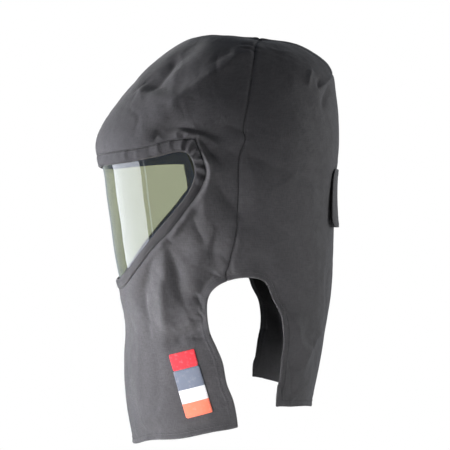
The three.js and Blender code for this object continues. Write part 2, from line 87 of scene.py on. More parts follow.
SECTION_COLUMNS = [
    "down", "front", "frontDrop", "side", "sideDrop", "back", "backDrop", "middle", "frontSquare",
    "backSquare",
]
SECTION_ROWS = [
    [0.0, -0.023, 0.0, 0.0, 0.0, 0.023, 0.0, 0.023, 2.0, 2.0],
    [0.017, 0.034, -0.003, 0.194, 0.004, 0.097, 0.007, 0.026, 2.0, 2.0],
    [0.041, 0.103, 0.004, 0.403, 0.014, 0.189, 0.013, 0.029, 2.0, 2.05],
    [0.072, 0.177, 0.022, 0.597, 0.036, 0.283, 0.018, 0.029, 2.0, 2.1],
    [0.106, 0.257, 0.055, 0.746, 0.068, 0.366, 0.036, 0.026, 2.0, 2.15],
    [0.147, 0.337, 0.097, 0.858, 0.113, 0.44, 0.072, 0.02, 2.0, 2.2],
    [0.191, 0.417, 0.152, 0.933, 0.164, 0.463, 0.123, 0.011, 2.0, 2.25],
    [0.239, 0.486, 0.212, 0.978, 0.222, 0.477, 0.191, 0.003, 2.05, 2.3],
    [0.283, 0.52, 0.27, 1.0, 0.276, 0.481, 0.263, -0.006, 2.1, 2.3],
    [0.328, 0.503, 0.326, 1.007, 0.328, 0.474, 0.324, -0.011, 2.1, 2.3],
    [0.384, 0.489, 0.384, 1.004, 0.384, 0.463, 0.384, -0.011, 2.1, 2.3],
    [0.461, 0.471, 0.461, 0.993, 0.461, 0.46, 0.461, -0.009, 2.1, 2.3],
    [0.529, 0.456, 0.529, 0.978, 0.529, 0.457, 0.529, -0.006, 2.1, 2.3],
    [0.597, 0.434, 0.597, 0.978, 0.597, 0.45, 0.597, 0.0, 2.15, 2.3],
    [0.657, 0.411, 0.657, 0.993, 0.657, 0.44, 0.657, 0.006, 2.2, 2.3],
    [0.7, 0.4, 0.7, 1.015, 0.7, 0.429, 0.7, 0.009, 2.25, 2.3],
    [0.768, 0.404, 0.768, 1.06, 0.768, 0.406, 0.768, 0.011, 2.3, 2.3],
    [0.836, 0.403, 0.836, 1.104, 0.836, 0.383, 0.836, 0.014, 2.3, 2.3],
    [0.904, 0.389, 0.904, 1.149, 0.904, 0.357, 0.904, 0.017, 2.3, 2.3],
    [0.956, 0.374, 0.956, 1.172, 0.956, 0.34, 0.956, 0.02, 2.3, 2.3],
    [1.06, 0.346, 1.06, 1.187, 1.06, 0.31, 1.06, 0.023, 2.3, 2.3],
]

# Main folds, as in the solids: around, down, bendAround, bendDown, endAround, endDown, height, width
FOLD_ROWS = [
    [56, 0.22, 78, 0.15, 104, 0.087, 0.6, 0.8],
    [48, 0.089, 44, 0.142, 39, 0.179, -0.5, 0.9],
    [59, 0.282, 72, 0.253, 93, 0.258, -0.5, 0.7],
    [76, 0.27, 86, 0.33, 86, 0.413, 0.65, 0.6],
    [83, 0.28, 93, 0.336, 95, 0.462, -0.65, 0.7],
    [98, 0.3, 115, 0.334, 140, 0.37, -0.5, 0.8],
    [162, 0.174, 150, 0.179, 138, 0.184, 0.35, 0.7],
    [53, 0.58, 46, 0.6, 37, 0.633, -0.6, 0.6],
    [68, 0.53, 64, 0.572, 67, 0.618, -0.6, 0.6],
    [57, 0.58, 53, 0.611, 53, 0.689, 0.5, 0.6],
    [85, 0.572, 78, 0.6, 74, 0.626, -0.55, 0.6],
    [77, 0.701, 66, 0.712, 58, 0.727, -0.6, 0.6],
    [103, 0.549, 108, 0.597, 112, 0.637, -0.55, 0.6],
    [124, 0.696, 126, 0.729, 132, 0.761, 0.5, 0.6],
    [146, 0.725, 136, 0.763, 130, 0.804, 0.5, 0.7],
    [-60, 0.215, -80, 0.16, -100, 0.1, 0.55, 0.8],
    [-40, 0.1, -36, 0.15, -30, 0.19, -0.45, 0.9],
    [-62, 0.272, -76, 0.25, -95, 0.262, -0.5, 0.7],
    [-78, 0.272, -86, 0.34, -85, 0.41, 0.6, 0.6],
    [-88, 0.29, -94, 0.35, -92, 0.45, -0.6, 0.7],
    [-98, 0.32, -116, 0.34, -138, 0.39, -0.5, 0.8],
    [-50, 0.57, -47, 0.6, -40, 0.64, -0.55, 0.6],
    [-66, 0.54, -66, 0.58, -70, 0.63, -0.55, 0.6],
    [-82, 0.58, -78, 0.6, -75, 0.625, -0.5, 0.6],
    [-74, 0.71, -64, 0.72, -54, 0.715, -0.55, 0.6],
    [-102, 0.55, -108, 0.6, -111, 0.64, -0.55, 0.6],
    [-126, 0.7, -130, 0.73, -134, 0.77, 0.5, 0.6],
    [-10, 0.66, -14, 0.72, -20, 0.8, 0.4, 0.9],
    [24, 0.78, 30, 0.84, 33, 0.92, 0.35, 0.9],
]

# Sharper creases of the cloth: height, half width, then points of (around, down), with the degrees in around
# and the rest in millimetres
CREASE_ROWS = [
    # from the brow over the crown
    (3.0, 6.5, [(84, 79), (74, 97), (68, 111), (63, 121), (61, 132), (58, 143)]),
    (-5.0, 10.0, [(40, 70), (43, 79), (42, 97), (42, 111)]),
    (1.9, 6.5, [(52, 82), (52, 89), (56, 105), (55, 114)]),
    (1.2, 4.5, [(31, 100), (31, 106), (38, 116), (40, 126)]),
    (-1.1, 4.5, [(30, 98), (31, 114), (32, 124)]),
    (3.6, 9.0, [(28, 108), (40, 111), (48, 115), (56, 118), (62, 118), (68, 111)]),
    (-3.6, 9.0, [(30, 98), (40, 102), (50, 105), (58, 106), (64, 102)]),
    (1.6, 5.5, [(95, 61), (88, 74), (84, 85), (72, 104)]),
    (-1.4, 6.0, [(88, 60), (80, 70), (70, 84)]),
    (-1.3, 2.6, [(104, 54), (98, 50), (92, 49)]),
    (-1.4, 2.6, [(102, 61), (98, 57), (93, 56)]),
    (0.9, 2.4, [(103, 57), (98, 53), (92, 52)]),
    (1.0, 3.6, [(114, 53), (122, 62), (130, 61)]),
    # over the window and round the band's rear corner
    (-6.0, 5.6, [
        (58, 165), (58, 158), (60, 154), (63, 151), (68, 149), (72, 151), (78, 154), (83, 158), (88, 160),
    ]),
    (4.4, 5.0, [(67, 156), (70, 155), (74, 158), (80, 161), (84, 166), (86, 171)]),
    (-1.7, 2.6, [(71, 165), (71, 161), (71, 157)]),
    (1.4, 2.8, [(68, 164), (68, 160), (67, 155)]),
    (1.4, 2.6, [(73, 164), (72, 159)]),
    (-1.5, 2.6, [(74, 163), (76, 161), (78, 160)]),
    (7.0, 5.2, [(76, 163), (78, 169), (80, 177), (82, 186), (84, 197), (86, 207)]),
    (6.5, 7.0, [
        (77, 172), (80, 183), (82, 191), (83, 199), (83, 212), (82, 225), (80, 241), (80, 256), (80, 272),
    ]),
    (-5.0, 4.2, [(79, 173), (82, 183), (84, 193), (85, 203), (86, 214)]),
    (-7.5, 7.0, [(78, 162), (80, 168), (82, 175), (84, 182), (88, 193)]),
    (-7.0, 11.0, [(84, 205), (86, 218), (88, 230), (90, 242), (92, 252), (92, 265)]),
    (-1.3, 5.0, [(90, 174), (92, 181), (94, 186)]),
    (-1.2, 5.5, [(96, 181), (100, 186), (104, 188)]),
    (-1.1, 3.5, [(88, 145), (93, 153), (99, 158)]),
    # the neck
    (-4.5, 10.0, [(85, 269), (84, 292), (83, 312), (85, 330)]),
    (-2.2, 4.2, [(75, 265), (76, 277), (78, 288), (79, 299)]),
    (2.4, 5.0, [(83, 270), (84, 281), (82, 293), (81, 306)]),
    (-1.3, 3.0, [(60, 288), (63, 297)]),
    (-4.6, 7.4, [(53, 311), (48, 330), (44, 348), (40, 365), (40, 385), (41, 405), (42, 431)]),
    (3.6, 7.4, [(58, 296), (58, 327), (55, 358), (54, 384), (54, 409), (53, 429)]),
    (-4.4, 7.4, [(61, 301), (62, 317), (64, 337), (64, 357), (66, 378), (68, 384)]),
    (2.0, 8.0, [(66, 317), (70, 332), (70, 352), (71, 372)]),
    # gathered towards the front of the arch
    (-5.0, 6.0, [(84, 335), (80, 347), (75, 365)]),
    (3.2, 4.2, [(84, 339), (81, 351), (77, 367)]),
    (-1.8, 3.2, [(74, 365), (76, 380)]),
    (-1.4, 2.8, [(74, 387), (77, 398)]),
    (-4.4, 6.2, [(60, 428), (64, 419), (69, 414), (76, 406)]),
    (1.8, 6.0, [(58, 411), (66, 408), (72, 401)]),
    (-1.4, 3.2, [(70, 421), (74, 422), (78, 420)]),
    (-1.0, 3.0, [(68, 394), (72, 398), (77, 397)]),
    # the bib
    (1.4, 12.0, [(28, 400), (33, 450), (34, 520)]),
    (-1.6, 11.0, [(48, 440), (50, 480), (46, 530)]),
    (1.4, 8.0, [(58, 500), (46, 528), (34, 536), (20, 540)]),
    (-1.4, 7.0, [(48, 545), (36, 550), (24, 548)]),
    # behind the side seam
    (-1.0, 4.0, [(95, 286), (95, 311), (92, 334)]),
    (-1.0, 5.5, [(98, 142), (104, 155), (110, 165)]),
    (-1.3, 6.0, [(95, 176), (110, 196), (126, 206), (140, 217)]),
    (0.9, 6.0, [(95, 166), (108, 184), (124, 193), (138, 203)]),
    (0.8, 5.5, [(118, 134), (122, 150), (130, 166)]),
    (2.8, 5.0, [(136, 89), (131, 101), (130, 111)]),
    (-3.2, 6.0, [(138, 103), (139, 108), (137, 113)]),
    (3.0, 4.2, [(160, 102), (150, 107), (144, 111), (138, 113)]),
    (-3.4, 6.5, [(153, 111), (144, 124), (140, 136)]),
    (-1.7, 4.5, [(105, 346), (110, 373), (114, 392)]),
    (1.3, 4.5, [(101, 350), (106, 372), (110, 388)]),
    (1.4, 5.0, [(124, 408), (126, 427), (132, 446)]),
    (1.3, 5.0, [(146, 425), (136, 447), (130, 471)]),
    (-1.2, 5.0, [(118, 446), (122, 472), (124, 500)]),
    (-1.2, 6.0, [(108, 270), (124, 300), (136, 340)]),
    (0.9, 7.0, [(150, 300), (146, 350), (150, 400)]),
]
# How the far side differs: every crease is mirrored, turned and lowered by these and made so much higher
FAR_SIDE = (-3.0, 6.0, 0.8)

# The window's edge in side view: reach, drop, band
WINDOW_ROWS = [
    (-0.8, 0.003, 0.97), (0.0, 0.003, 0.97), (0.297, -0.009, 1.0), (0.602, -0.047, 0.97),
    (0.845, -0.088, 1.0), (0.945, -0.062, 0.97), (0.997, 0.05, 0.86), (0.969, 0.175, 0.82),
    (0.859, 0.319, 0.68), (0.656, 0.512, 0.58), (0.461, 0.706, 0.62), (0.297, 0.887, 0.68),
    (0.18, 0.99, 0.84), (0.0, 1.0, 0.88), (-0.8, 1.0, 0.88),
]
# The far side's edge of the window has a squarer corner: reach, drop of the top and of the rear
FAR_TOP = [(-0.8, 0.003), (0.0, 0.003), (0.297, -0.03), (0.6, -0.065), (0.85, -0.081), (0.985, -0.08)]
FAR_REAR = [
    (0.985, -0.08), (1.032, 0.13), (0.97, 0.22), (0.859, 0.335), (0.656, 0.522), (0.461, 0.71), (0.297, 0.89),
    (0.18, 0.99), (0.0, 1.0), (-0.8, 1.0),
]
# The band's seam behind the window, from its sharp upper corner: back, up
BAND_REAR = [
    (-46.8, -158.6), (-38.3, -179.7), (-33.0, -199.3), (-34.8, -214.3), (-44.0, -232.9), (-60.9, -255.9),
    (-79.7, -281.0), (-103.7, -306.0),
]
# The side seam: back, drop
SEAM_ROWS = [
    (0.14, -0.17), (0.14, 0.02), (0.108, 0.089), (0.08, 0.248), (0.053, 0.407),
    (0.058, 0.465), (0.034, 0.543), (0.034, 0.683), (0.024, 0.822), (-0.003, 0.95),
    (-0.011, 1.01), (0.06, 1.28), (0.08, 1.5),
]
# The shoulder arch: along, drop
ARCH_ROWS = [
    (-0.098, 1.2), (-0.118, 0.99), (-0.167, 0.831), (-0.255, 0.708), (-0.304, 0.569), (-0.382, 0.467),
    (-0.471, 0.359), (-0.5, 0.241), (-0.49, 0.149), (-0.431, 0.087), (-0.314, 0.041), (-0.147, 0.01),
    (0.049, 0.0), (0.216, 0.015), (0.314, 0.056), (0.373, 0.138), (0.461, 0.231), (0.5, 0.344), (0.5, 0.446),
    (0.461, 0.574), (0.431, 0.703), (0.392, 0.805), (0.392, 1.2),
]
# The hems: turn, drop
HEM_ROWS = [
    (0, 0.997), (26, 0.981), (47, 0.957), (64, 0.945), (75, 0.933), (83, 0.925), (93, 0.916), (112, 0.877),
    (122, 0.88), (131, 0.884), (142, 0.891), (160, 0.904), (180, 0.913),
]


# The body's surface

def cubic(xs, ys):
    """Natural cubic through the points of a table's column"""
    xs, ys = np.asarray(xs, float), np.asarray(ys, float)
    count, step = len(xs), np.diff(xs)
    system, right = np.eye(count), np.zeros(count)
    for i in range(1, count - 1):
        system[i, i - 1:i + 2] = step[i - 1], 2 * (step[i - 1] + step[i]), step[i]
        right[i] = 6 * ((ys[i + 1] - ys[i]) / step[i] - (ys[i] - ys[i - 1]) / step[i - 1])
    bend = np.linalg.solve(system, right)

    def at(x):
        i = np.clip(np.searchsorted(xs, x, side="right") - 1, 0, count - 2)
        a, b = (xs[i + 1] - x) / step[i], (x - xs[i]) / step[i]
        swell = ((a ** 3 - a) * bend[i] + (b ** 3 - b) * bend[i + 1]) * step[i] ** 2 / 6
        return a * ys[i] + b * ys[i + 1] + swell
    return at


table = np.array(SECTION_ROWS)
section = {name: cubic(table[:, 0], table[:, i]) for i, name in enumerate(SECTION_COLUMNS)}
hem_drop = cubic(*np.array(HEM_ROWS).T)


def body_point(around, down):
    """A point of the smooth outer face, from degrees round and share of the way down"""
    angle = np.radians(around)
    sine, cosine = np.sin(angle), np.cos(angle)
    ahead = cosine >= 0
    power = 2 / np.where(ahead, section["frontSquare"](down), section["backSquare"](down))
    middle = section["middle"](down)
    reach = np.where(ahead, -section["front"](down), section["back"](down))
    end_drop = np.where(ahead, section["frontDrop"](down), section["backDrop"](down))
    drop = section["sideDrop"](down) * (1 - cosine ** 2) + end_drop * cosine ** 2
    return np.stack([
        section["side"](down) * (HOOD_WIDTH / 2) * np.sign(sine) * np.abs(sine) ** power,
        (middle + (reach - middle) * np.abs(cosine) ** power) * HOOD_DEPTH,
        -drop * HOOD_HEIGHT,
    ], -1)


def run_lengths(line):
    """Length along a line at each of its points"""
    return np.concatenate([[0], np.cumsum(np.linalg.norm(np.diff(line, axis=0), axis=1))])


# Every point of the skin has a flat place (p, q): its length from the crown, turned by its angle round
DOWN_STEPS = np.concatenate([np.linspace(0, 0.05, 120), np.linspace(0.05, 1.06, 900)[1:]])
runs = [body_point(np.full(DOWN_STEPS.shape, turn), DOWN_STEPS) for turn in (0.0, 60.0, 90.0, 130.0, 180.0)]
LENGTHS = np.mean([run_lengths(run) for run in runs], axis=0)


def flat_place(around, down):
    length = np.interp(down, DOWN_STEPS, LENGTHS)
    angle = np.radians(around)
    return np.stack([length * np.cos(angle), length * np.sin(angle)], -1)


def turn_and_down(place):
    around = np.degrees(np.arctan2(place[..., 1], place[..., 0]))
    return around, np.interp(np.hypot(place[..., 0], place[..., 1]), LENGTHS, DOWN_STEPS)


def skin(place):
    """Point and outward normal of the smooth face at flat places"""
    def at(step):
        return body_point(*turn_and_down(place + step))
    side = 1.5
    along = at((side, 0)) - at((-side, 0))
    across = at((0, side)) - at((0, -side))
    normal = np.cross(along, across)
    return at((0, 0)), normal / np.linalg.norm(normal, axis=-1, keepdims=True)


def smoothstep(x, low, high):
    share = np.clip((x - low) / (high - low), 0, 1)
    return share * share * (3 - 2 * share)


def to_segments(points, path):
    """Nearest distance from points to a path in a plane, and how far along the path that is"""
    best = np.full(len(points), np.inf)
    where = np.zeros(len(points))
    passed = 0.0
    for a, b in zip(path[:-1], path[1:]):
        run = b - a
        size = math.hypot(*run)
        share = np.clip(((points - a) @ run) / (size * size), 0, 1)
        off = np.hypot(*(points - a - share[:, None] * run).T)
        closer = off < best
        best[closer] = off[closer]
        where[closer] = passed + share[closer] * size
        passed += size
    return best, where


SPLINE_STEPS = 8
CREASE_STEPS = 4
CORNER_ROW = 4  # the window's row at the band's upper rear corner
REAR_ROW = 11  # from this row on the band's rear seam keeps its distance from the window
ROLL_ROWS = 7  # the cloth rolls out over this many rows of the rear seam


def spline(rows, steps=SPLINE_STEPS):
    """Catmull-Rom curve through points"""
    rows = np.asarray(rows, float)
    last = len(rows) - 1
    found = [rows[0]]
    for i in range(last):
        before, a, b, after = rows[max(i - 1, 0)], rows[i], rows[i + 1], rows[min(i + 2, last)]
        for t in np.arange(1, steps + 1) / steps:
            speed_a, speed_b = (b - before) / 2, (after - a) / 2
            found.append(
                (2 * a - 2 * b + speed_a + speed_b) * t ** 3
                + (-3 * a + 3 * b - 2 * speed_a - speed_b) * t ** 2 + speed_a * t + a
            )
    return np.array(found)


window_rows = np.array(WINDOW_ROWS)
window_front = -section["front"](WINDOW_TOP / HOOD_HEIGHT) * HOOD_DEPTH
window_points = np.stack([
    window_front + window_rows[:, 0] * WINDOW_REACH, -(WINDOW_TOP + window_rows[:, 1] * WINDOW_HEIGHT),
], -1)


def window_line(grow):
    """The window's edge in side view, moved out by a distance for each row"""
    before = np.vstack([window_points[:1], window_points[:-1]])
    after = np.vstack([window_points[1:], window_points[-1:]])
    out = np.stack([-(after - before)[:, 1], (after - before)[:, 0]], -1)
    out /= np.linalg.norm(out, axis=1, keepdims=True)
    return spline(window_points + out * np.asarray(grow)[:, None])


def below(point):
    return np.array([[point[0], -2 * HOOD_HEIGHT]])


WINDOW_GROWTH = 1.2  # the opening is larger than the solid's by this much all round
PLEAT_LINE = 0.6  # the pleats are placed along this share of the band's width
nothing = np.zeros(len(window_rows))
window_edge = window_line(nothing + WINDOW_GROWTH)
band_top = window_line(window_rows[:, 2] * BAND_WIDTH)
band_rear = spline(np.vstack([BAND_REAR, band_top[SPLINE_STEPS * REAR_ROW::SPLINE_STEPS]]))
band_seam = np.vstack([band_top[:SPLINE_STEPS * CORNER_ROW + 1], band_rear])
band_middle = window_line(window_rows[:, 2] * BAND_WIDTH * PLEAT_LINE)
window_start = np.array([window_front, -WINDOW_TOP])
window_size = np.array([WINDOW_REACH, -WINDOW_HEIGHT])
far_edge = np.vstack([spline(np.array(rows) * window_size + window_start) for rows in (FAR_TOP, FAR_REAR)])
visor_edge = window_line(nothing + VISOR_TUCK)
seam_points = np.array(SEAM_ROWS) * (HOOD_DEPTH, -ARCH_TOP)
seam_line = np.vstack([spline(seam_points), below(seam_points[-1])])
arch_points = np.array([(ARCH_CENTRE + a * ARCH_WIDTH, -(ARCH_TOP + d * ARCH_HEIGHT)) for a, d in ARCH_ROWS])
arch_line = np.vstack([below(arch_points[0]), spline(arch_points), below(arch_points[-1])])


def from_loop(points, loop):
    """Side view distance to a closed outline, positive outside it"""
    flat = points[:, 1:3]
    closed = np.vstack([loop, loop[:1]])
    inside = np.zeros(len(flat), bool)
    for a, b in zip(closed[:-1], closed[1:]):
        if a[1] == b[1]:
            continue
        crosses = (a[1] > flat[:, 1]) != (b[1] > flat[:, 1])
        inside ^= crosses & (flat[:, 0] < a[0] + (b[0] - a[0]) * (flat[:, 1] - a[1]) / (b[1] - a[1]))
    distance = to_segments(flat, loop)[0]
    return np.where(inside, -distance, distance)


# Signed distances in millimetres, positive on the side that is named
def outside_arch(points):
    return from_loop(points, arch_line)


def outside_band(points):
    return from_loop(points, band_seam)


def outside_window(points):
    far = smoothstep(-points[:, 0], 5, 60)
    return from_loop(points, window_edge) * (1 - far) + from_loop(points, far_edge) * far


def inside_visor(points):
    return -from_loop(points, visor_edge)


def ahead_of_seam(points):
    return np.interp(points[:, 2], seam_line[::-1, 1], seam_line[::-1, 0]) - points[:, 1]


def above_hem(points):
    turn = np.degrees(np.arctan2(np.abs(points[:, 0]), -points[:, 1]))
    return points[:, 2] + hem_drop(turn) * HOOD_HEIGHT


def outside_strip(points):
    return np.maximum(np.abs(points[:, 0]) - STRIP_WIDTH / 2, -STRIP_DROP - points[:, 2])


# Folds and the life of the cloth

def lines_lift(around, down, rows, creased):
    """Ridges along bent lines: rows of (height, half width, points of around and millimetres down)"""
    degree = np.maximum(math.radians(1) * section["side"](down) * HOOD_WIDTH / 2, 0.3)
    low = down * HOOD_HEIGHT
    lift = np.zeros(len(around))
    for height, width, line in rows:
        turns, downs = np.array(line).T
        reach = 3.4 * width
        near = (low > downs.min() - reach) & (low < downs.max() + reach)
        near &= (around > turns.min() - reach / degree) & (around < turns.max() + reach / degree)
        if not near.any():
            continue
        scale, turn, depth = degree[near], around[near], low[near]
        best, where, passed = np.full(len(turn), np.inf), np.zeros(len(turn)), 0.0
        for (a_turn, a_down), (b_turn, b_down) in zip(line[:-1], line[1:]):
            run = np.stack([(b_turn - a_turn) * scale, np.full(len(turn), b_down - a_down)])
            here = np.stack([(turn - a_turn) * scale, depth - a_down])
            size = np.hypot(*run)
            share = np.clip((run * here).sum(0) / size ** 2, 0, 1)
            off = np.hypot(*(here - share * run))
            closer = off < best
            best[closer] = off[closer]
            where[closer] = (passed + share)[closer]
            passed += 1
        # a creased fold has a sharper crest than a main fold
        ridge = height * np.exp(-(best / width) ** (1.35 if creased else 2))
        if creased:
            ends = where / passed
            ridge *= smoothstep(ends, -0.12, 0.25) * smoothstep(1 - ends, -0.12, 0.4)
        lift[near] += ridge
    return lift


main_folds = [
    (row[6] * FOLD_HEIGHT, row[7] * FOLD_WIDTH, [(row[i], row[i + 1] * HOOD_HEIGHT) for i in (0, 2, 4)])
    for row in FOLD_ROWS
]
creases = [
    (height, width, [tuple(p) for p in spline(line, CREASE_STEPS)]) for height, width, line in CREASE_ROWS
]
turn_step, down_step, far_share = FAR_SIDE
creases += [
    (height * far_share, width * 1.15, [(-turn + turn_step, down + down_step) for turn, down in line])
    for height, width, line in creases
]


def noise(points, seed):
    """Smooth noise from -1 to 1, one cell to the unit"""
    values = np.random.default_rng(seed).uniform(-1, 1, 4096)
    cell = np.floor(points).astype(np.int64)
    part = points - cell
    part = part ** 3 * (part * (part * 6 - 15) + 10)
    total = np.zeros(len(points))
    for corner in np.ndindex(2, 2, 2):
        key = (cell + corner) @ np.array([73856093, 19349663, 83492791])
        weight = np.prod(np.where(np.array(corner) == 1, part, 1 - part), axis=1)
        total += weight * values[key % 4096]
    return total


def fold_share(points):
    """Main folds die away beside the band"""
    return smoothstep(outside_band(points), 0, FOLD_FADE)


rear_length = run_lengths(band_rear)[SPLINE_STEPS * ROLL_ROWS]


def behind_window(points):
    """Distance from the band's rear seam, and how far the cloth rolls out over it there"""
    away, along = to_segments(points[:, 1:3], band_rear)
    along /= rear_length
    share = smoothstep(along, 0.1, 0.4) * smoothstep(1.25 - along, 0, 0.5)
    return away, share * (1 + 0.3 * np.sin(along * 19 + 1) + 0.2 * np.sin(along * 43))


def band_roll(points):
    away, share = behind_window(points)
    return 3.6 * share * np.exp(-((away - 6.0) / 4.6) ** 2) * smoothstep(away, 0.2, 4.0)


# Random life of the cloth: size of the noise's cell, its seed, its height in millimetres
SWELLS = [((74, 74, 92), 3, 1.6), ((36, 36, 52), 4, 0.8), ((17, 17, 26), 5, 0.3)]
# Thin random creases where a noise crosses nought: cell, seed and steepness, then cell, seed and size of
# their height
THIN_CREASES = [((44, 44, 60), 6, 3.2, 60, 7, 1.7), ((22, 22, 30), 8, 2.6, 40, 9, 0.7)]
CREASE_TILT = np.array([[1.0, 0.2, 0.3], [0.1, 1.0, -0.5], [-0.2, 0.4, 1.0]])
CALM_BIB = (395, 450)  # they fade between these depths on the bib ahead of BIB_REAR
BIB_REAR = 20


def cloth_lift(place, points):
    """How far the cloth stands off the smooth face"""
    around, down = turn_and_down(place)
    free = fold_share(points)
    lift = lines_lift(around, down, main_folds, False) * free
    lift += lines_lift(around, down, creases, True) * smoothstep(outside_band(points), -1, 4)
    lift += band_roll(points)
    swell = sum(noise(points / cell, seed) * height for cell, seed, height in SWELLS)
    sharp = 0
    for cell, seed, steep, wide, other, height in THIN_CREASES:
        crest = np.maximum(0, 1 - steep * np.abs(noise(points @ CREASE_TILT / cell, seed))) ** 2
        sharp += crest * noise(points / wide, other) * height
    sharp *= 1 - 0.85 * smoothstep(-points[:, 2], *CALM_BIB) * (points[:, 1] < BIB_REAR)
    return lift + (swell + sharp) * (0.15 + 0.85 * free)


def seam_puckers(points):
    """Small gathers across the seams, and the seams' own dip"""
    seam = np.abs(ahead_of_seam(points))
    puckers = noise(points / (10, 60, 10), 11) + noise(points / (5.5, 40, 5.5), 12) * 0.5
    crown = np.exp(-(np.hypot(points[:, 0] - 12, points[:, 2] + 4) / 60) ** 2)
    lift = puckers * np.exp(-(seam / (10 + 12 * crown)) ** 2) * (0.75 + 1.3 * crown)
    lift -= 1.1 * np.exp(-(seam / 2.6) ** 2)
    strip = np.abs(outside_strip(points))
    lift += (noise(points / (60, 12, 12), 13) * 0.6 - 0.9 * np.exp(-(strip / 2.6) ** 2)) * (
        np.exp(-(strip / 8) ** 2) * (ahead_of_seam(points) < 0)
    )
    band = outside_band(points)
    lift += noise(points / (30, 11, 11), 14) * 0.5 * np.exp(-((band - 3) / 9) ** 2)
    return lift


HEM_WIDTH = 9.0
HEM_RISE = 0.8
HEM_STITCHES = (HEM_WIDTH - 2, 2.2)  # distances of the stitches from the edge


def edge_distance(points):
    return np.minimum(outside_arch(points), above_hem(points))


def hem_lift(points):
    edge = edge_distance(points)
    lift = HEM_RISE * smoothstep(-edge, -HEM_WIDTH - 1.2, -HEM_WIDTH + 0.2)
    ripple = noise(points / (11, 11, 11), 21) * 0.5 * np.exp(-(edge / 12) ** 2)
    return lift + ripple - 0.7 * np.exp(-((edge - HEM_WIDTH + 2) / 1.4) ** 2)


# Meshes cut from the skin

def disc_grid(cell):
    """Even triangles over the whole skin, as rings round the crown"""
    lowest = 1.03
    reach = np.interp(lowest, DOWN_STEPS, LENGTHS)
    rings = int(reach / cell)
    places, faces, before = [np.zeros((1, 2))], [], [0]
    total = 1
    for ring in range(1, rings + 1):
        down = np.interp(ring * reach / rings, LENGTHS, DOWN_STEPS)
        loop = body_point(np.linspace(-180, 180, 73), np.full(73, down))
        count = max(6, int(round(run_lengths(loop)[-1] / cell)))
        turn = np.linspace(-180, 180, count, endpoint=False) + (90.0 / count if ring % 2 else 0)
        places.append(flat_place(turn, np.full(count, down)))
        here = list(range(total, total + count))
        total += count
        i = j = 0
        while i < len(before) or j < count:
            inner_next = (i + 1) / len(before)
            outer_next = (j + 1) / count
            a, b = before[i % len(before)], here[j % count]
            if j < count and (i >= len(before) or outer_next <= inner_next or len(before) == 1):
                faces.append((a, b, here[(j + 1) % count]))
                j += 1
            else:
                if len(before) > 1:
                    faces.append((a, b, before[(i + 1) % len(before)]))
                i += 1
        before = here
    return np.vstack(places), np.array(faces)


def patch_grid(turns, downs, cell):
    """Even triangles over a patch, given by its limits in degrees and shares"""
    middle = body_point(np.full(2, np.mean(turns)), np.array(downs, float))
    columns = int(run_lengths(body_point(np.linspace(*turns, 40), np.full(40, np.mean(downs))))[-1] / cell)
    rows = int(np.linalg.norm(middle[1] - middle[0]) / cell)
    turn, down = np.meshgrid(np.linspace(*turns, columns + 1), np.linspace(*downs, rows + 1))
    spot = np.arange((rows + 1) * (columns + 1)).reshape(rows + 1, columns + 1)
    a, b, c, d = spot[:-1, :-1].ravel(), spot[1:, :-1].ravel(), spot[1:, 1:].ravel(), spot[:-1, 1:].ravel()
    faces = np.vstack([np.stack([a, b, c], -1), np.stack([a, c, d], -1)])
    return flat_place(turn.ravel(), down.ravel()), faces


def compact(place, faces):
    used, new = np.unique(faces, return_inverse=True)
    return place[used], new.reshape(faces.shape)


def face_edges(faces):
    """The edges of every triangle in turn, each with its lower vertex first"""
    return np.sort(np.stack([faces, np.roll(faces, -1, axis=1)], -1).reshape(-1, 2), axis=1)


def refine(place, faces, near):
    """Halves the triangles where near(place, point) is true at an edge's middle"""
    edges, index = np.unique(face_edges(faces), axis=0, return_inverse=True)
    index = index.reshape(-1, 3)
    middle = place[edges].mean(1)
    marked = near(middle, skin(middle)[0])
    new = np.full(len(edges), -1)
    new[marked] = len(place) + np.arange(marked.sum())
    place = np.vstack([place, middle[marked]])
    mids = new[index]
    count = (mids >= 0).sum(1)
    out = [faces[count == 0]]
    for face, mid in zip(faces[count == 3], mids[count == 3]):
        a, b, c = face
        ab, bc, ca = mid
        out.append([(a, ab, ca), (ab, b, bc), (ca, bc, c), (ab, bc, ca)])
    for face, mid in zip(faces[count == 1], mids[count == 1]):
        k = int(np.argmax(mid >= 0))
        a, b, c = face[k], face[(k + 1) % 3], face[(k + 2) % 3]
        out.append([(a, mid[k], c), (mid[k], b, c)])
    for face, mid in zip(faces[count == 2], mids[count == 2]):
        k = int(np.argmin(mid))
        a, b, c = face[k], face[(k + 1) % 3], face[(k + 2) % 3]
        bc, ca = mid[(k + 1) % 3], mid[(k + 2) % 3]
        out.append([(a, b, bc), (a, bc, ca), (ca, bc, c)])
    return place, np.vstack([np.asarray(x, int).reshape(-1, 3) for x in out])


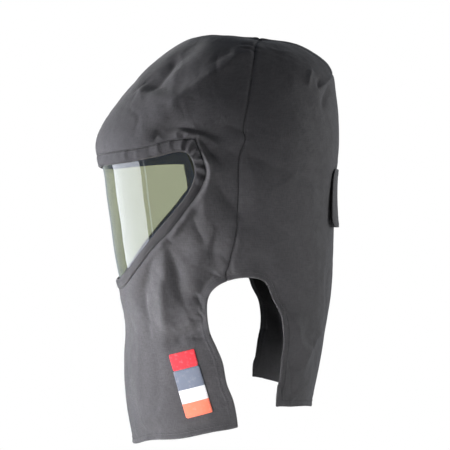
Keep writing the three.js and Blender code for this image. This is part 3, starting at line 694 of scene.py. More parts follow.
def cut(place, faces, field, cell):
    """Keeps the part of the mesh where field(point) is positive, with a clean edge there"""
    def value_at(spots):
        return field(skin(spots)[0])
    value = value_at(place)
    edges, uses = np.unique(face_edges(faces), axis=0, return_counts=True)
    locked = np.zeros(len(place), bool)
    locked[edges[uses == 1]] = True
    near = np.flatnonzero((np.abs(value) < 0.35 * cell) & ~locked)
    for _ in range(3):
        if not len(near):
            break
        spots = place[near]
        here = value_at(spots)
        slope = np.stack([value_at(spots + (0.4, 0)) - here, value_at(spots + (0, 0.4)) - here], -1) / 0.4
        step = here / np.maximum((slope ** 2).sum(1), 0.05)
        move = -step[:, None] * slope
        size = np.hypot(*move.T)
        place[near] = spots + move * np.minimum(1, 0.4 * cell / np.maximum(size, 1e-6))[:, None]
    value[near] = value_at(place[near])
    value[np.abs(value) < 0.06] = 0
    signs = np.sign(value)[faces]
    keep = (signs >= 0).all(1) & (signs > 0).any(1)
    mixed = (signs > 0).any(1) & (signs < 0).any(1)
    crossing = np.unique(face_edges(faces[mixed]), axis=0)
    crossing = crossing[np.sign(value[crossing[:, 0]]) * np.sign(value[crossing[:, 1]]) < 0]
    a, b = place[crossing[:, 0]], place[crossing[:, 1]]
    va, vb = value[crossing[:, 0]], value[crossing[:, 1]]
    share = va / (va - vb)
    for _ in range(2):
        spot = a + share[:, None] * (b - a)
        v = value_at(spot)
        first = np.sign(v) == np.sign(va)
        low, vlow = np.where(first, share, 0), np.where(first, v, va)
        high, vhigh = np.where(first, 1, share), np.where(first, vb, v)
        share = low + (high - low) * vlow / np.where(vlow == vhigh, 1, vlow - vhigh)
    made = {tuple(pair): len(place) + i for i, pair in enumerate(crossing.tolist())}
    place = np.vstack([place, a + share[:, None] * (b - a)])
    out = []
    for face in faces[mixed].tolist():
        ring = []
        for k in range(3):
            u, v = face[k], face[(k + 1) % 3]
            if value[u] >= 0:
                ring.append(u)
            if value[u] * value[v] < 0:
                ring.append(made[(min(u, v), max(u, v))])
        out += [(ring[0], ring[k], ring[k + 1]) for k in range(1, len(ring) - 1)]
    return compact(place, np.vstack([faces[keep], np.array(out, int).reshape(-1, 3)]))


def rims(faces):
    """Directed edges on the border, as next vertex for each vertex"""
    directed = np.vstack([faces[:, [i, (i + 1) % 3]] for i in range(3)])
    key = directed[:, 0].astype(np.int64) * 10 ** 7 + directed[:, 1]
    back = directed[:, 1].astype(np.int64) * 10 ** 7 + directed[:, 0]
    return directed[~np.isin(key, back)]


def to_metres(points):
    return (points + (0, 0, CLOTH_WALL)) * 0.001


def shell(name, place, faces, lift, wall, materials, uv=None, bulge=1.0, **attributes):
    """A closed sheet of even wall with rounded edges. Its outer face stands lift above the smooth face.

    The outer face and the rim have the first material, and the inner face has the last.
    """
    point, normal = skin(place)
    outer = point + normal * lift[:, None]
    inner = outer - normal * wall
    border = rims(faces)
    start, end = border[:, 0], border[:, 1]
    count = len(place)
    after, prior, spot = np.full((3, count), -1)
    after[start], prior[end] = end, start
    ring = np.flatnonzero(after >= 0)
    spot[ring] = np.arange(len(ring))
    tangent = outer[after[ring]] - outer[prior[ring]]
    out = np.cross(tangent, normal[ring])
    out /= np.maximum(np.linalg.norm(out, axis=1, keepdims=True), 1e-9)
    centre = (outer[ring] + inner[ring]) / 2
    radius = np.linalg.norm(outer[ring] - inner[ring], axis=1, keepdims=True) / 2
    points = [outer, inner]
    layers = [(start, end)]
    steps = 3
    for k in range(steps):
        angle = math.pi / 2 - math.pi * (k + 1) / (steps + 1)
        points.append(centre + radius * (math.sin(angle) * normal[ring] + bulge * math.cos(angle) * out))
        base = 2 * count + k * len(ring)
        layers.append((base + spot[start], base + spot[end]))
    layers.append((start + count, end + count))
    triangles = [faces, faces[:, ::-1] + count]
    for (a, b), (c, d) in zip(layers[:-1], layers[1:]):
        triangles += [np.stack([b, a, c], -1), np.stack([b, c, d], -1)]
    triangles = np.vstack(triangles)
    obj = make_mesh(name, to_metres(np.vstack(points)), triangles)
    for material in materials:
        obj.data.materials.append(material)
    slots = np.zeros(len(triangles), np.int32)
    slots[len(faces):2 * len(faces)] = len(materials) - 1
    obj.data.polygons.foreach_set("material_index", slots)
    source = np.concatenate([np.arange(count), np.arange(count), np.tile(ring, steps)])
    set_uv(obj, (cloth_uv(place) if uv is None else uv)[source])
    for key, values in attributes.items():
        set_attribute(obj, key, values[source])
    obj.data.update()
    return obj, (outer, normal, faces)


def make_mesh(name, points, triangles):
    mesh = bpy.data.meshes.new(name)
    mesh.vertices.add(len(points))
    mesh.vertices.foreach_set("co", points.astype(np.float32).ravel())
    mesh.loops.add(3 * len(triangles))
    mesh.loops.foreach_set("vertex_index", triangles.astype(np.int32).ravel())
    mesh.polygons.add(len(triangles))
    mesh.polygons.foreach_set("loop_start", np.arange(0, 3 * len(triangles), 3, dtype=np.int32))
    mesh.update(calc_edges=True)
    mesh.polygons.foreach_set("use_smooth", np.ones(len(triangles), bool))
    obj = bpy.data.objects.new(name, mesh)
    bpy.context.scene.collection.objects.link(obj)
    return obj


def set_uv(obj, uv):
    mesh = obj.data
    layer = mesh.uv_layers.new(name="UVMap")
    corners = np.empty(len(mesh.loops), np.int32)
    mesh.loops.foreach_get("vertex_index", corners)
    layer.data.foreach_set("uv", uv[corners].astype(np.float32).ravel())


def set_attribute(obj, name, values):
    layer = obj.data.attributes.new(name, "FLOAT", "POINT")
    layer.data.foreach_set("value", values.astype(np.float32))


def cloth_uv(place):
    around, down = turn_and_down(place)
    u = np.radians(np.abs(around)) * section["side"](down) * HOOD_WIDTH / 2
    return np.stack([u, -np.hypot(place[:, 0], place[:, 1])], -1) * 0.001


def contour(outer, normal, faces, value, level):
    """Lines where a value over the vertices reaches a level: lists of (points, normals)"""
    over = value - level
    over[over == 0] = 1e-6
    signs = over[faces] > 0
    mixed = faces[signs.any(1) & ~signs.all(1)]
    steps, spots = {}, {}
    for face in mixed.tolist():
        ends = []
        for k in range(3):
            u, v = face[k], face[(k + 1) % 3]
            if (over[u] > 0) != (over[v] > 0):
                key = (min(u, v), max(u, v))
                share = over[key[0]] / (over[key[0]] - over[key[1]])
                spots[key] = share
                ends.append((key, over[u] > 0))
        (first, leaving), (second, _) = ends
        if not leaving:
            first, second = second, first
        steps[first] = second
    lines = []
    targets = set(steps.values())
    starts = [key for key in steps if key not in targets] + list(steps)
    seen = set()
    for start in starts:
        if start in seen:
            continue
        keys = [start]
        seen.add(start)
        while keys[-1] in steps:
            following = steps[keys[-1]]
            keys.append(following)
            if following in seen:
                break
            seen.add(following)
        if len(keys) < 4:
            continue
        a, b = np.array([k[0] for k in keys]), np.array([k[1] for k in keys])
        share = np.array([spots[k] for k in keys])[:, None]
        lines.append((outer[a] * (1 - share) + outer[b] * share, normal[a] * (1 - share) + normal[b] * share))
    return lines


STITCH_PITCH = 3.4
STITCH_LENGTH = 2.5
STITCH_RADIUS = 0.32
SMALL_STITCH = (3.0, 2.2, 0.28)  # pitch, length and radius on the band and the flap


def stitches(name, lines, material, pitch=STITCH_PITCH, length=STITCH_LENGTH, radius=STITCH_RADIUS):
    """Rows of short rounded stitches along lines on the cloth"""
    sides = 6
    rings = [(-0.5, 0.15), (-0.34, 0.85), (0.0, 1.0), (0.34, 0.85), (0.5, 0.15)]
    points, faces = [], []
    base = 0
    for line, up in lines:
        lengths = run_lengths(line)
        if lengths[-1] < 2 * pitch:
            continue
        spots = np.arange(pitch / 2, lengths[-1] - pitch / 3, pitch)

        def along_line(values, step=0):
            return np.stack([np.interp(spots + step, lengths, column) for column in values.T], -1)
        at, high = along_line(line), along_line(up)
        high /= np.linalg.norm(high, axis=1, keepdims=True)
        run = along_line(line, 1) - along_line(line, -1)
        run -= (run * high).sum(1, keepdims=True) * high
        run /= np.maximum(np.linalg.norm(run, axis=1, keepdims=True), 1e-9)
        wide = np.cross(high, run)
        block = []
        for along, fat in rings:
            sag = (abs(along) * 2) ** 2 * radius * 0.9
            for s in range(sides):
                angle = 2 * math.pi * s / sides
                block.append(
                    at + run * along * length + wide * math.cos(angle) * radius * fat
                    + high * (math.sin(angle) * radius * 0.8 * fat + 0.12 - sag)
                )
        block = np.stack(block, 1)
        per = len(rings) * sides
        shape = []
        for r in range(len(rings) - 1):
            for s in range(sides):
                a, b = r * sides + s, r * sides + (s + 1) % sides
                shape += [(a, b, b + sides), (a, b + sides, a + sides)]
        shape += [(0, s + 1, s) for s in range(1, sides - 1)]
        top = (len(rings) - 1) * sides
        shape += [(top, top + s, top + s + 1) for s in range(1, sides - 1)]
        shape = np.array(shape)[:, ::-1]
        points.append(block.reshape(-1, 3))
        faces.append((shape[None] + (base + per * np.arange(len(at)))[:, None, None]).reshape(-1, 3))
        base += per * len(at)
    obj = make_mesh(name, to_metres(np.vstack(points)), np.vstack(faces))
    obj.data.materials.append(material)
    return obj


# Materials

def new_material(name, colour, roughness):
    material = bpy.data.materials.new(name)
    material.use_nodes = True
    tree = material.node_tree
    shader = tree.nodes["Principled BSDF"]
    shader.inputs["Base Color"].default_value = (*colour, 1)
    shader.inputs["Roughness"].default_value = roughness
    return material, tree, shader


def add(tree, kind, inputs=None, **settings):
    node = tree.nodes.new("ShaderNode" + kind)
    for key, value in settings.items():
        setattr(node, key, value)
    for key, value in (inputs or {}).items():
        if isinstance(value, bpy.types.NodeSocket):
            tree.links.new(value, node.inputs[key])
        else:
            node.inputs[key].default_value = value
    return node


def math_node(tree, operation, a, b):
    return add(tree, "Math", {0: a, 1: b}, operation=operation).outputs[0]


def plus(tree, a, b):
    return math_node(tree, "ADD", a, b)


def times(tree, a, b):
    return math_node(tree, "MULTIPLY", a, b)


def speckle(tree, coords, scale, detail, **more):
    """A noise texture's value"""
    return add(tree, "TexNoise", {"Vector": coords, "Scale": scale, "Detail": detail, **more}).outputs["Fac"]


def ramp(tree, source, low, high, out_low=0.0, out_high=1.0):
    """A smooth step of a value"""
    return add(tree, "MapRange", {
        "Value": source, "From Min": low, "From Max": high, "To Min": out_low, "To Max": out_high,
    }, interpolation_type="SMOOTHSTEP").outputs["Result"]


def mix(tree, share, a, b):
    node = add(tree, "Mix", data_type="RGBA")
    for socket, value in ((node.inputs[0], share), (node.inputs[6], a), (node.inputs[7], b)):
        if isinstance(value, bpy.types.NodeSocket):
            tree.links.new(value, socket)
        else:
            socket.default_value = value
    return node.outputs[2]


def scaled(colour, share):
    return (*(channel * share for channel in colour[:3]), 1)


def wave(tree, coords, pitch, direction, distortion=0.0):
    """Threads of one pitch in metres"""
    across = 10 if direction == "DIAGONAL" else 20
    return add(tree, "TexWave", {
        "Vector": coords, "Scale": 2 * math.pi / (across * pitch), "Distortion": distortion,
        "Detail": 1.0, "Detail Scale": 0.4,
    }, wave_type="BANDS", bands_direction=direction).outputs["Fac"]


def cloth_material(name, colour, pitch=0.0012, sheen=0.12, edges=True, weave=0.5, roughness=0.72, shine=0.35):
    """Twill with slubs, wear and crumples, darkened by painted shade in its seams and grooves, and lighter on
    its edges
    """
    material, tree, shader = new_material(name, colour, roughness)
    shader.inputs["Sheen Weight"].default_value = sheen
    shader.inputs["Sheen Roughness"].default_value = 0.5
    shader.inputs["Specular IOR Level"].default_value = shine
    coords = add(tree, "TexCoord")
    uv, place = coords.outputs["UV"], coords.outputs["Object"]
    twill = wave(tree, uv, pitch, "DIAGONAL", 0.6)
    yarn = wave(tree, uv, pitch * 0.5, "X", 0.8)
    threads = plus(tree, times(tree, twill, 0.7), times(tree, yarn, 0.3))
    cloud = speckle(tree, place, 11.0, 3.0, Roughness=0.55)
    mottle = speckle(tree, place, 90.0, 4.0, Roughness=0.7)
    fuzz = speckle(tree, place, 1300.0, 1.0)
    slubs = []
    for stretch in ((110, 750, 1), (750, 140, 1)):
        strands = add(tree, "Mapping", {"Vector": uv, "Scale": stretch}).outputs[0]
        slubs.append(speckle(tree, strands, 1.0, 2.0))
    slub = times(tree, plus(tree, *slubs), 0.5)
    crumple = speckle(tree, place, 42.0, 2.5, Distortion=0.6)
    tone = mix(tree, ramp(tree, cloud, 0.32, 0.68), scaled(colour, 0.88), scaled(colour, 1.1))
    tone = mix(tree, ramp(tree, mottle, 0.4, 0.72, 0, 0.22), tone, scaled(colour, 1.5))
    tone = mix(tree, ramp(tree, slub, 0.38, 0.6, 0.42, 0), tone, scaled(colour, 0.4))
    tone = mix(tree, times(tree, threads, 0.3), tone, scaled(colour, 0.55))
    height = plus(tree, plus(tree, threads, times(tree, fuzz, 0.5)), times(tree, slub, 2.0))
    if edges:
        edge = add(tree, "Attribute", attribute_name="edge").outputs["Fac"]
        seam = add(tree, "Attribute", attribute_name="seam").outputs["Fac"]
        worn = times(tree, ramp(tree, edge, 2.4, 0.3), ramp(tree, mottle, 0.3, 0.6, 0.35, 1.0))
        tone = mix(tree, times(tree, worn, 0.35), tone, scaled(colour, 1.9))
        # painted shade: the cloth darkens towards its seams, the hems' stitch groove and the band's opening,
        # where shade falls
        tone = mix(tree, ramp(tree, seam, 2.2, 0.4, 0, 0.7), tone, scaled(colour, 0.3))
    tree.links.new(tone, shader.inputs["Base Color"])
    rough = ramp(tree, mottle, 0.3, 0.7, roughness - 0.07, roughness + 0.06)
    tree.links.new(rough, shader.inputs["Roughness"])
    bump = {}
    reliefs = (weave, 0.00022, height), (0.4, 0.0012, mottle), (0.55, 0.0022, crumple)
    for strength, distance, relief in reliefs:
        bump.update(Strength=strength, Distance=distance, Height=relief)
        bump["Normal"] = add(tree, "Bump", bump).outputs[0]
    tree.links.new(bump["Normal"], shader.inputs["Normal"])
    return material


CHARCOAL = (0.0535, 0.0515, 0.0545)
charcoal = cloth_material("charcoal_twill", CHARCOAL)
charcoal_back = cloth_material("charcoal_twill_back", scaled(CHARCOAL, 0.92)[:3])
band_cloth = cloth_material("band_twill", scaled(CHARCOAL, 0.85)[:3], pitch=0.0011)
navy_lining = cloth_material("navy_lining", (0.018, 0.024, 0.036), 0.0007, 0.05, False, 0.1, 0.85)
black_lining = cloth_material("black_lining", (0.017, 0.0165, 0.017), 0.0007, 0.12, False, 0.25, 0.75)
facing_cloth = cloth_material("navy_facing", (0.06, 0.10, 0.34), 0.0007, 0.0, False, 0.1, 0.9, 0.12)
thread = new_material("grey_thread", (0.055, 0.055, 0.058), 0.6)[0]


# Cloth panels

def rough_cut(place, faces, keep, margin=12):
    """Drops the triangles that lie wholly more than a margin outside the signed distance keep(point)"""
    near = keep(skin(place)[0]) > -margin
    return compact(place, faces[near[faces].any(1)])


# The grid is fine this near to hems, band, seams and strip, and where a narrow crease stands this high
HEM_REACH = 13
SEAM_REACH = 8
STRIP_REACH = 6
NARROW = 5.6
CREASE_HEIGHT = 0.3
FAR_OFF = 40.0  # distances to edges and seams are clipped here for the materials
narrow = [row for row in creases if row[1] < NARROW]


def near_edges(place, points):
    seam = ahead_of_seam(points)
    close = np.abs(edge_distance(points)) < HEM_REACH
    close |= np.abs(seam) < SEAM_REACH
    close |= np.abs(outside_band(points)) < HEM_REACH
    close |= (np.abs(outside_strip(points)) < STRIP_REACH) & (seam < SEAM_REACH)
    around, down = turn_and_down(place)
    folded = np.zeros(len(place))
    for row in narrow:
        folded = np.maximum(folded, np.abs(lines_lift(around, down, [row], True)))
    return close | (folded > CREASE_HEIGHT)


def panel(name, grid, fields, materials, nodes):
    place, faces = grid
    for field in fields:
        place, faces = cut(place, faces, field, CELL / 2)
    point = skin(place)[0]
    lift = cloth_lift(place, point) + seam_puckers(point) + hem_lift(point)
    # seam measures the distance to the side seam, the band, the strip and the hems' stitch groove; the cloth
    # is darkened along it as painted shade in those grooves
    edge = edge_distance(point)
    seam = np.minimum(np.abs(ahead_of_seam(point)), np.abs(outside_band(point)))
    seam = np.where(ahead_of_seam(point) < 0, np.minimum(seam, np.abs(outside_strip(point))), seam)
    seam = np.minimum(seam, np.abs(edge - HEM_WIDTH + 1) + 0.8)
    obj, face = shell(
        name, place, faces, lift, CLOTH_WALL, materials,
        edge=np.clip(edge, 0, FAR_OFF), seam=np.clip(seam, 0, FAR_OFF),
    )
    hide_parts(*nodes)
    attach(obj, "root")
    return obj, face, edge


HALF = CLOTH_WALL / 2
TOUCH = 0.1  # rims press into each other by this much

body_grid = disc_grid(CELL)
body_grid = rough_cut(*body_grid, lambda points: np.minimum(edge_distance(points), outside_window(points)))
body_grid = refine(*body_grid, near_edges)

hems = [lambda p: outside_arch(p) - HALF, lambda p: above_hem(p) - HALF]
front, *front_face = panel(
    "front_cloth", rough_cut(*body_grid, ahead_of_seam),
    [lambda p: ahead_of_seam(p) - HALF + TOUCH, lambda p: outside_band(p) - HALF + TOUCH, *hems],
    [charcoal, navy_lining], ["hood_front"],
)
rear_grid = rough_cut(*body_grid, lambda p: -ahead_of_seam(p))
back, *back_face = panel(
    "back_cloth", rear_grid,
    [lambda p: -ahead_of_seam(p) - HALF + TOUCH, lambda p: outside_strip(p) - HALF + TOUCH, *hems],
    [charcoal_back, black_lining], ["hood_back", "back_bib"],
)
strip = panel(
    "crown_strip_cloth", rough_cut(*rear_grid, lambda p: -outside_strip(p)),
    [lambda p: -ahead_of_seam(p) - HALF + TOUCH, lambda p: -outside_strip(p) - HALF + TOUCH],
    [charcoal_back, black_lining], ["crown_strip"],
)[0]
hem_lines = []
for face, edge in (front_face, back_face):
    for level in HEM_STITCHES:
        hem_lines += contour(*face, edge, level)
hem_stitches = stitches("hem_stitches", hem_lines, thread)


# Window band and visor

def band_place(points):
    """Distances on the band from the opening and from the seam, and the place along the window's edge"""
    opening = outside_window(points)
    seam = -outside_band(points)
    return opening, seam, to_segments(points[:, 1:3], window_edge)[1]


# Pleats across the band, by their place along its middle line in millimetres: height, half width, place
corner_length = run_lengths(band_middle[:SPLINE_STEPS * (CORNER_ROW + 1) + 1])[-1]
BAND_PLEATS = [
    (1.9, 3.0, -17.0), (-1.3, 2.4, -11.5), (2.6, 2.6, -6.0), (-1.9, 2.3, -1.0),
    (3.0, 2.8, 4.5), (-2.1, 2.4, 10.0), (2.4, 3.0, 15.5), (-1.6, 2.6, 21.5),
    (2.1, 3.4, 28.0), (-1.4, 3.0, 34.5), (1.4, 3.6, 42.0), (-0.9, 3.6, 51.0),
]


def band_pleats(points):
    run = to_segments(points[:, 1:3], band_middle)[1] - corner_length
    seam = np.clip(-outside_band(points), 0, 30)
    run += 0.12 * seam + 1.4 * np.sin(seam / 4.5)
    side = np.where(points[:, 0] > 0, 1.0, 0.85)
    lift = np.zeros(len(points))
    for height, width, place in BAND_PLEATS:
        lift += height * np.exp(-((run - place * side) / width) ** 2)
    top = smoothstep(-run, 14, 30)
    lift += 0.9 * top * noise(np.stack([run / 5.5, seam / 30, np.sign(points[:, 0])], -1), 33)
    return lift * smoothstep(outside_window(points), 0.5, 5.0)


# Distances of the band's stitches from the opening and from its seam
OPENING_STITCH = 3.0
BAND_STITCH = 2.6


def band_lift(points):
    opening, seam, along = band_place(points)
    lift = BAND_RISE + 0.9 + band_pleats(points)
    lift += noise(np.stack([along / 9, opening / 16, np.sign(points[:, 0])], -1), 31) * 0.3
    lift += noise(points / (40, 26, 26), 32) * 0.4
    away, share = behind_window(points)
    lift -= 2.4 * share * np.exp(-(away / 4.5) ** 2)
    for row in (opening - OPENING_STITCH, seam - BAND_STITCH):
        lift -= 0.45 * np.exp(-(row / 0.9) ** 2)
    return lift - 0.5 * np.exp(-(seam / 1.8) ** 2)


WINDOW_TURNS = (-91, 91)
WINDOW_DOWNS = (0.25, 0.66)
FACING_WALL = 0.8
SLACK = 0.4  # the visor lies behind the band by the seams' gap and this much more
half_band = BAND_WALL / 2
band_grid = rough_cut(
    *patch_grid(WINDOW_TURNS, WINDOW_DOWNS, BAND_CELL),
    lambda p: np.minimum(outside_window(p), -outside_band(p)), 2.5,
)
place, faces = band_grid
for field in (lambda p: -outside_band(p) - half_band + TOUCH, lambda p: outside_window(p) - half_band):
    place, faces = cut(place, faces, field, BAND_CELL)
point = skin(place)[0]
opening, seam, along = band_place(point)
band, face = shell(
    "window_band_cloth", place, faces, band_lift(point), BAND_WALL, [band_cloth, navy_lining],
    np.stack([along, opening], -1) * 0.001, edge=np.full(len(place), FAR_OFF),
    # painted shade: the band darkens along its seam and along the window's opening, in place of the shade in
    # the gap beside the visor
    seam=np.clip(np.minimum(seam, opening - 0.5), 0, FAR_OFF),
)
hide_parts("window_band")
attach(band, "root")
band_lines = contour(*face, opening, OPENING_STITCH) + contour(*face, seam, BAND_STITCH)
band_stitches = stitches("band_stitches", band_lines, thread, *SMALL_STITCH)

# The lining's facing covers the visor's tucked margin on the inside
place, faces = cut(*band_grid, lambda p: -outside_band(p) - 0.5, BAND_CELL)
place, faces = cut(place, faces, lambda p: outside_window(p) - 1.0, BAND_CELL)
visor_rise = BAND_RISE - BAND_WALL - SEAM_GAP - SLACK
facing_rise = visor_rise - VISOR_WALL - SEAM_GAP - SLACK / 2
facing = shell(
    "window_facing", place, faces, np.full(len(place), facing_rise), FACING_WALL, [facing_cloth],
)[0]
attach(facing, "root")

visor_grid = patch_grid(WINDOW_TURNS, WINDOW_DOWNS, VISOR_CELL)
place, faces = cut(*visor_grid, lambda p: inside_visor(p) - VISOR_WALL / 2, VISOR_CELL)
tint, tree, shader = new_material("tinted_sheet", (0.591, 0.614, 0.497), 0.02)
shader.inputs["Transmission Weight"].default_value = 1.0
shader.inputs["IOR"].default_value = 1.585
visor = shell("visor_sheet", place, faces, np.full(len(place), visor_rise), VISOR_WALL, [tint])[0]
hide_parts("visor")
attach(visor, "root")


# Back flap and labels

def rounded_box(x, y, half_x, half_y, corner):
    """Distance inside a rectangle with rounded corners"""
    over_x, over_y = np.abs(x) - half_x + corner, np.abs(y) - half_y + corner
    outside = np.hypot(np.maximum(over_x, 0), np.maximum(over_y, 0))
    return corner - (outside + np.minimum(np.maximum(over_x, over_y), 0))


def inside_flap(points):
    low = -points[:, 2] - FLAP_TOP - FLAP_HEIGHT / 2
    return rounded_box(points[:, 0], low, FLAP_WIDTH / 2, FLAP_HEIGHT / 2, FLAP_CORNER)


FLAP_TURNS = (148, 212)
FLAP_SPARE = 9  # the grid passes the flap by this much
FLAP_STITCH = 5.0
flap_downs = np.array([FLAP_TOP - FLAP_SPARE, FLAP_TOP + FLAP_HEIGHT + FLAP_SPARE]) / HOOD_HEIGHT
place, faces = cut(
    *patch_grid(FLAP_TURNS, flap_downs, FLAP_CELL), lambda p: inside_flap(p) - FLAP_WALL / 2, FLAP_CELL,
)
point = skin(place)[0]
hang = np.clip((-point[:, 2] - FLAP_TOP) / FLAP_HEIGHT, 0, 1)
side = np.abs(point[:, 0]) / (FLAP_WIDTH / 2)
margin = inside_flap(point)
lift = cloth_lift(place, point) + SEAM_GAP + FLAP_WALL + FLAP_LIFT * hang + 1.4 * (hang * side) ** 2
lift += 0.7 * hang * np.sin(point[:, 0] / 15 + 1.0) + 0.3 * noise(point / 24, 41)
lift += 0.45 * smoothstep(-margin, -8.5, -7.5) - 0.3 * np.exp(-(margin - FLAP_STITCH) ** 2)
flap, face = shell(
    "back_flap_cloth", place, faces, lift, FLAP_WALL, [charcoal_back, black_lining],
    edge=np.clip(margin, 0, FAR_OFF), seam=np.full(len(place), FAR_OFF),
)
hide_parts("back_flap")
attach(flap, "root")
flap_stitches = stitches("flap_stitches", contour(*face, margin, FLAP_STITCH), thread, *SMALL_STITCH)

label_turn = math.radians(LABEL_TILT)
label_along = np.array([math.cos(label_turn), math.sin(label_turn)])
label_up = np.array([-math.sin(label_turn), math.cos(label_turn)])
label_middle = np.array([-LABEL_AHEAD, LABEL_RISE - HOOD_HEIGHT])
mark_step = (LABEL_HEIGHT + MARK_HEIGHT) / 2 + SEAM_GAP
mark_middle = label_middle + mark_step * label_up


def on_label(points, middle):
    """Along and up a label, in millimetres from its middle"""
    off = points[:, 1:3] - middle
    return off @ label_along, off @ label_up


LABEL_TURNS = (52, 90)
LABEL_CORNER = 0.8
LABEL_STITCH = 1.6  # the seam's distance from the label's edge


def label(name, middle, width, height, material, node):
    def inside(points):
        return rounded_box(*on_label(points, middle), width / 2, height / 2, LABEL_CORNER)
    downs = (-middle[1] + height * np.array([-0.75, 0.75])) / HOOD_HEIGHT
    grid = patch_grid(LABEL_TURNS, downs, LABEL_CELL)
    place, faces = cut(*grid, lambda p: inside(p) - 0.15, LABEL_CELL)
    point = skin(place)[0]
    lift = cloth_lift(place, point) + SEAM_GAP + LABEL_WALL
    margin = inside(point)
    lift -= 0.35 * np.exp(-((margin - LABEL_STITCH) / 0.9) ** 2)
    along, up = on_label(point, middle)
    uv = np.stack([along / width + 0.5, up / height + 0.5], -1)
    obj, face = shell(name, place, faces, lift, LABEL_WALL, [material], uv, 0.3)
    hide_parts(node)
    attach(obj, "root")
    return obj, contour(*face, margin, LABEL_STITCH)


def label_material(name, zones, size):
    """Woven label of plain blocks: zones are (share up, colour)"""
    material, tree, shader = new_material(name, zones[0][1], 0.62)
    shader.inputs["Sheen Weight"].default_value = 0.15
    uv = add(tree, "TexCoord").outputs["UV"]
    up = add(tree, "SeparateXYZ", {0: uv}).outputs[1]
    blocks = add(tree, "ValToRGB", {"Fac": up})
    blocks.color_ramp.interpolation = "CONSTANT"
    stops = blocks.color_ramp.elements
    while len(stops) < len(zones):
        stops.new(0.5)
    for stop, (share, colour) in zip(stops, zones):
        stop.position = share
        stop.color = (*colour, 1)
    metres = add(tree, "Mapping", {"Vector": uv, "Scale": (size[0] * 0.001, size[1] * 0.001, 1)}).outputs[0]
    rows = wave(tree, metres, 0.0007, "Y")
    weft = wave(tree, metres, 0.0007, "X")
    grain = times(tree, rows, weft)
    worn = speckle(tree, metres, 160.0, 4.0)
    tone = mix(tree, times(tree, grain, 0.12), blocks.outputs[0], (0.2, 0.2, 0.2, 1))
    tone = mix(tree, ramp(tree, worn, 0.5, 0.75, 0, 0.25), tone, (0.35, 0.34, 0.34, 1))
    tree.links.new(tone, shader.inputs["Base Color"])
    bump = add(tree, "Bump", {"Strength": 0.4, "Distance": 0.00015, "Height": grain})
    tree.links.new(bump.outputs[0], shader.inputs["Normal"])
    return material


patch_zones = [(0.0, (0.72, 0.15, 0.085)), (0.3, (0.56, 0.56, 0.58)), (0.58, (0.105, 0.12, 0.16))]
patch_cloth = label_material("label_weave", patch_zones, (LABEL_WIDTH, LABEL_HEIGHT))
MARK_RED = (0.50, 0.018, 0.028)
mark_cloth = label_material("mark_weave", [(0.0, MARK_RED), (0.5, MARK_RED)], (MARK_WIDTH, MARK_HEIGHT))
patch, patch_lines = label(
    "label_cloth", label_middle, LABEL_WIDTH, LABEL_HEIGHT, patch_cloth, "label_patch",
)
mark, mark_lines = label(
    "mark_cloth", mark_middle, MARK_WIDTH, MARK_HEIGHT, mark_cloth, "label_mark",
)
label_stitches = stitches("label_stitches", patch_lines + mark_lines, thread, 2.4, 1.7, 0.2)

for rows, slot in (
    (hem_stitches, "shell_cloth"), (band_stitches, "band_cloth"), (flap_stitches, "shell_cloth"),
    (label_stitches, "label_cloth"),
):
    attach(rows, "root")


# Camera, light and floor

def look(obj, place, target):
    obj.location = place
    obj.rotation_euler = (Vector(target) - Vector(place)).to_track_quat("-Z", "Y").to_euler()
    bpy.context.scene.collection.objects.link(obj)


MIDDLE = (0.0, 0.00435, -0.2702)
VIEW_DISTANCE = 1.55
view_turn = math.radians(5)  # ahead of the wearer's left
camera = bpy.data.objects.new("camera", bpy.data.cameras.new("camera"))
camera.data.lens = 85.5
camera.data.sensor_width = 36
camera_x, camera_y = VIEW_DISTANCE * math.cos(view_turn), MIDDLE[1] - VIEW_DISTANCE * math.sin(view_turn)
look(camera, (camera_x, camera_y, MIDDLE[2]), MIDDLE)
bpy.context.scene.camera = camera


def softbox(name, place, target, width, height, watts, colour=(1.0, 1.0, 1.0)):
    light = bpy.data.lights.new(name, "AREA")
    light.shape = "RECTANGLE"
    light.size, light.size_y = width, height
    light.energy = watts
    light.color = colour
    obj = bpy.data.objects.new(name, light)
    look(obj, place, target)
    return obj


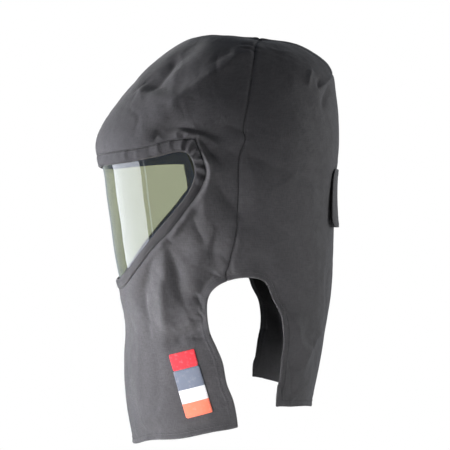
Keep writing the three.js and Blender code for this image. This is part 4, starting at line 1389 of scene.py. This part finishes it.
key = softbox("key", (-0.115, -1.6, -0.42), (-0.1, 0.0, -0.35), 1.43, 1.5, 27, (0.93, 0.96, 1.16))
key.visible_diffuse = False
softbox("strip", (0.785, -1.6, -0.35), (0.1, 0.0, -0.35), 0.05, 1.6, 0.32, (0.9, 0.98, 1.3))
softbox("rim", (0.1, 1.9, -0.1), (0.0, 0.1, -0.3), 1.0, 1.4, 26)
front_light = softbox("front", (0.02, -1.6, -0.45), (0.0, -0.12, -0.1), 0.6, 0.6, 4.0)
low_light = softbox("low", (0.5, -1.25, -0.95), (0.05, -0.08, -0.42), 0.7, 0.7, 5)
side_light = softbox("side", (0.95, -1.0, -0.9), (0.1, -0.08, -0.48), 0.4, 0.4, 1.85)
front_light.data.spread = math.radians(42)
side_light.data.spread = math.radians(30)
for light in (front_light, low_light, side_light):
    light.visible_glossy = light.visible_transmission = False

# The white backdrop is bright behind the hood, and the room is dimmer on the camera's side
scene = bpy.context.scene
world = bpy.data.worlds.new("studio")
scene.world = world
world.use_nodes = True
sky = world.node_tree
toward = add(sky, "SeparateXYZ", {0: add(sky, "TexCoord").outputs["Generated"]}).outputs[0]
rays = add(sky, "LightPath")
clear = math_node(sky, "MAXIMUM", rays.outputs["Is Camera Ray"], rays.outputs["Is Transmission Ray"])
clear = math_node(sky, "MAXIMUM", clear, ramp(sky, toward, -0.35, -0.75))
mirrored = math_node(sky, "SUBTRACT", rays.outputs["Is Glossy Ray"], rays.outputs["Is Transmission Ray"])
room = mix(sky, mirrored, (0.135, 0.135, 0.14, 1), (0.045, 0.07, 0.12, 1))
backdrop = mix(sky, mirrored, (1.0, 1.0, 1.0, 1), (0.3, 0.37, 0.45, 1))
sky.links.new(mix(sky, clear, room, backdrop), sky.nodes["Background"].inputs["Color"])
scene.view_settings.view_transform = "Standard"

FLOOR_LEVEL = -1.2
floor_corners = [(x, y, FLOOR_LEVEL) for x, y in ((-1.3, -1.3), (1.3, -1.3), (1.3, 1.3), (-1.3, 1.3))]
floor_mesh = bpy.data.meshes.new("floor")
floor_mesh.from_pydata(floor_corners, [], [(0, 1, 2, 3)])
floor = bpy.data.objects.new("floor", floor_mesh)
scene.collection.objects.link(floor)
paper, tree, shader = new_material("pale_paper", (0.93, 0.93, 0.93), 0.9)
floor_mesh.materials.append(paper)
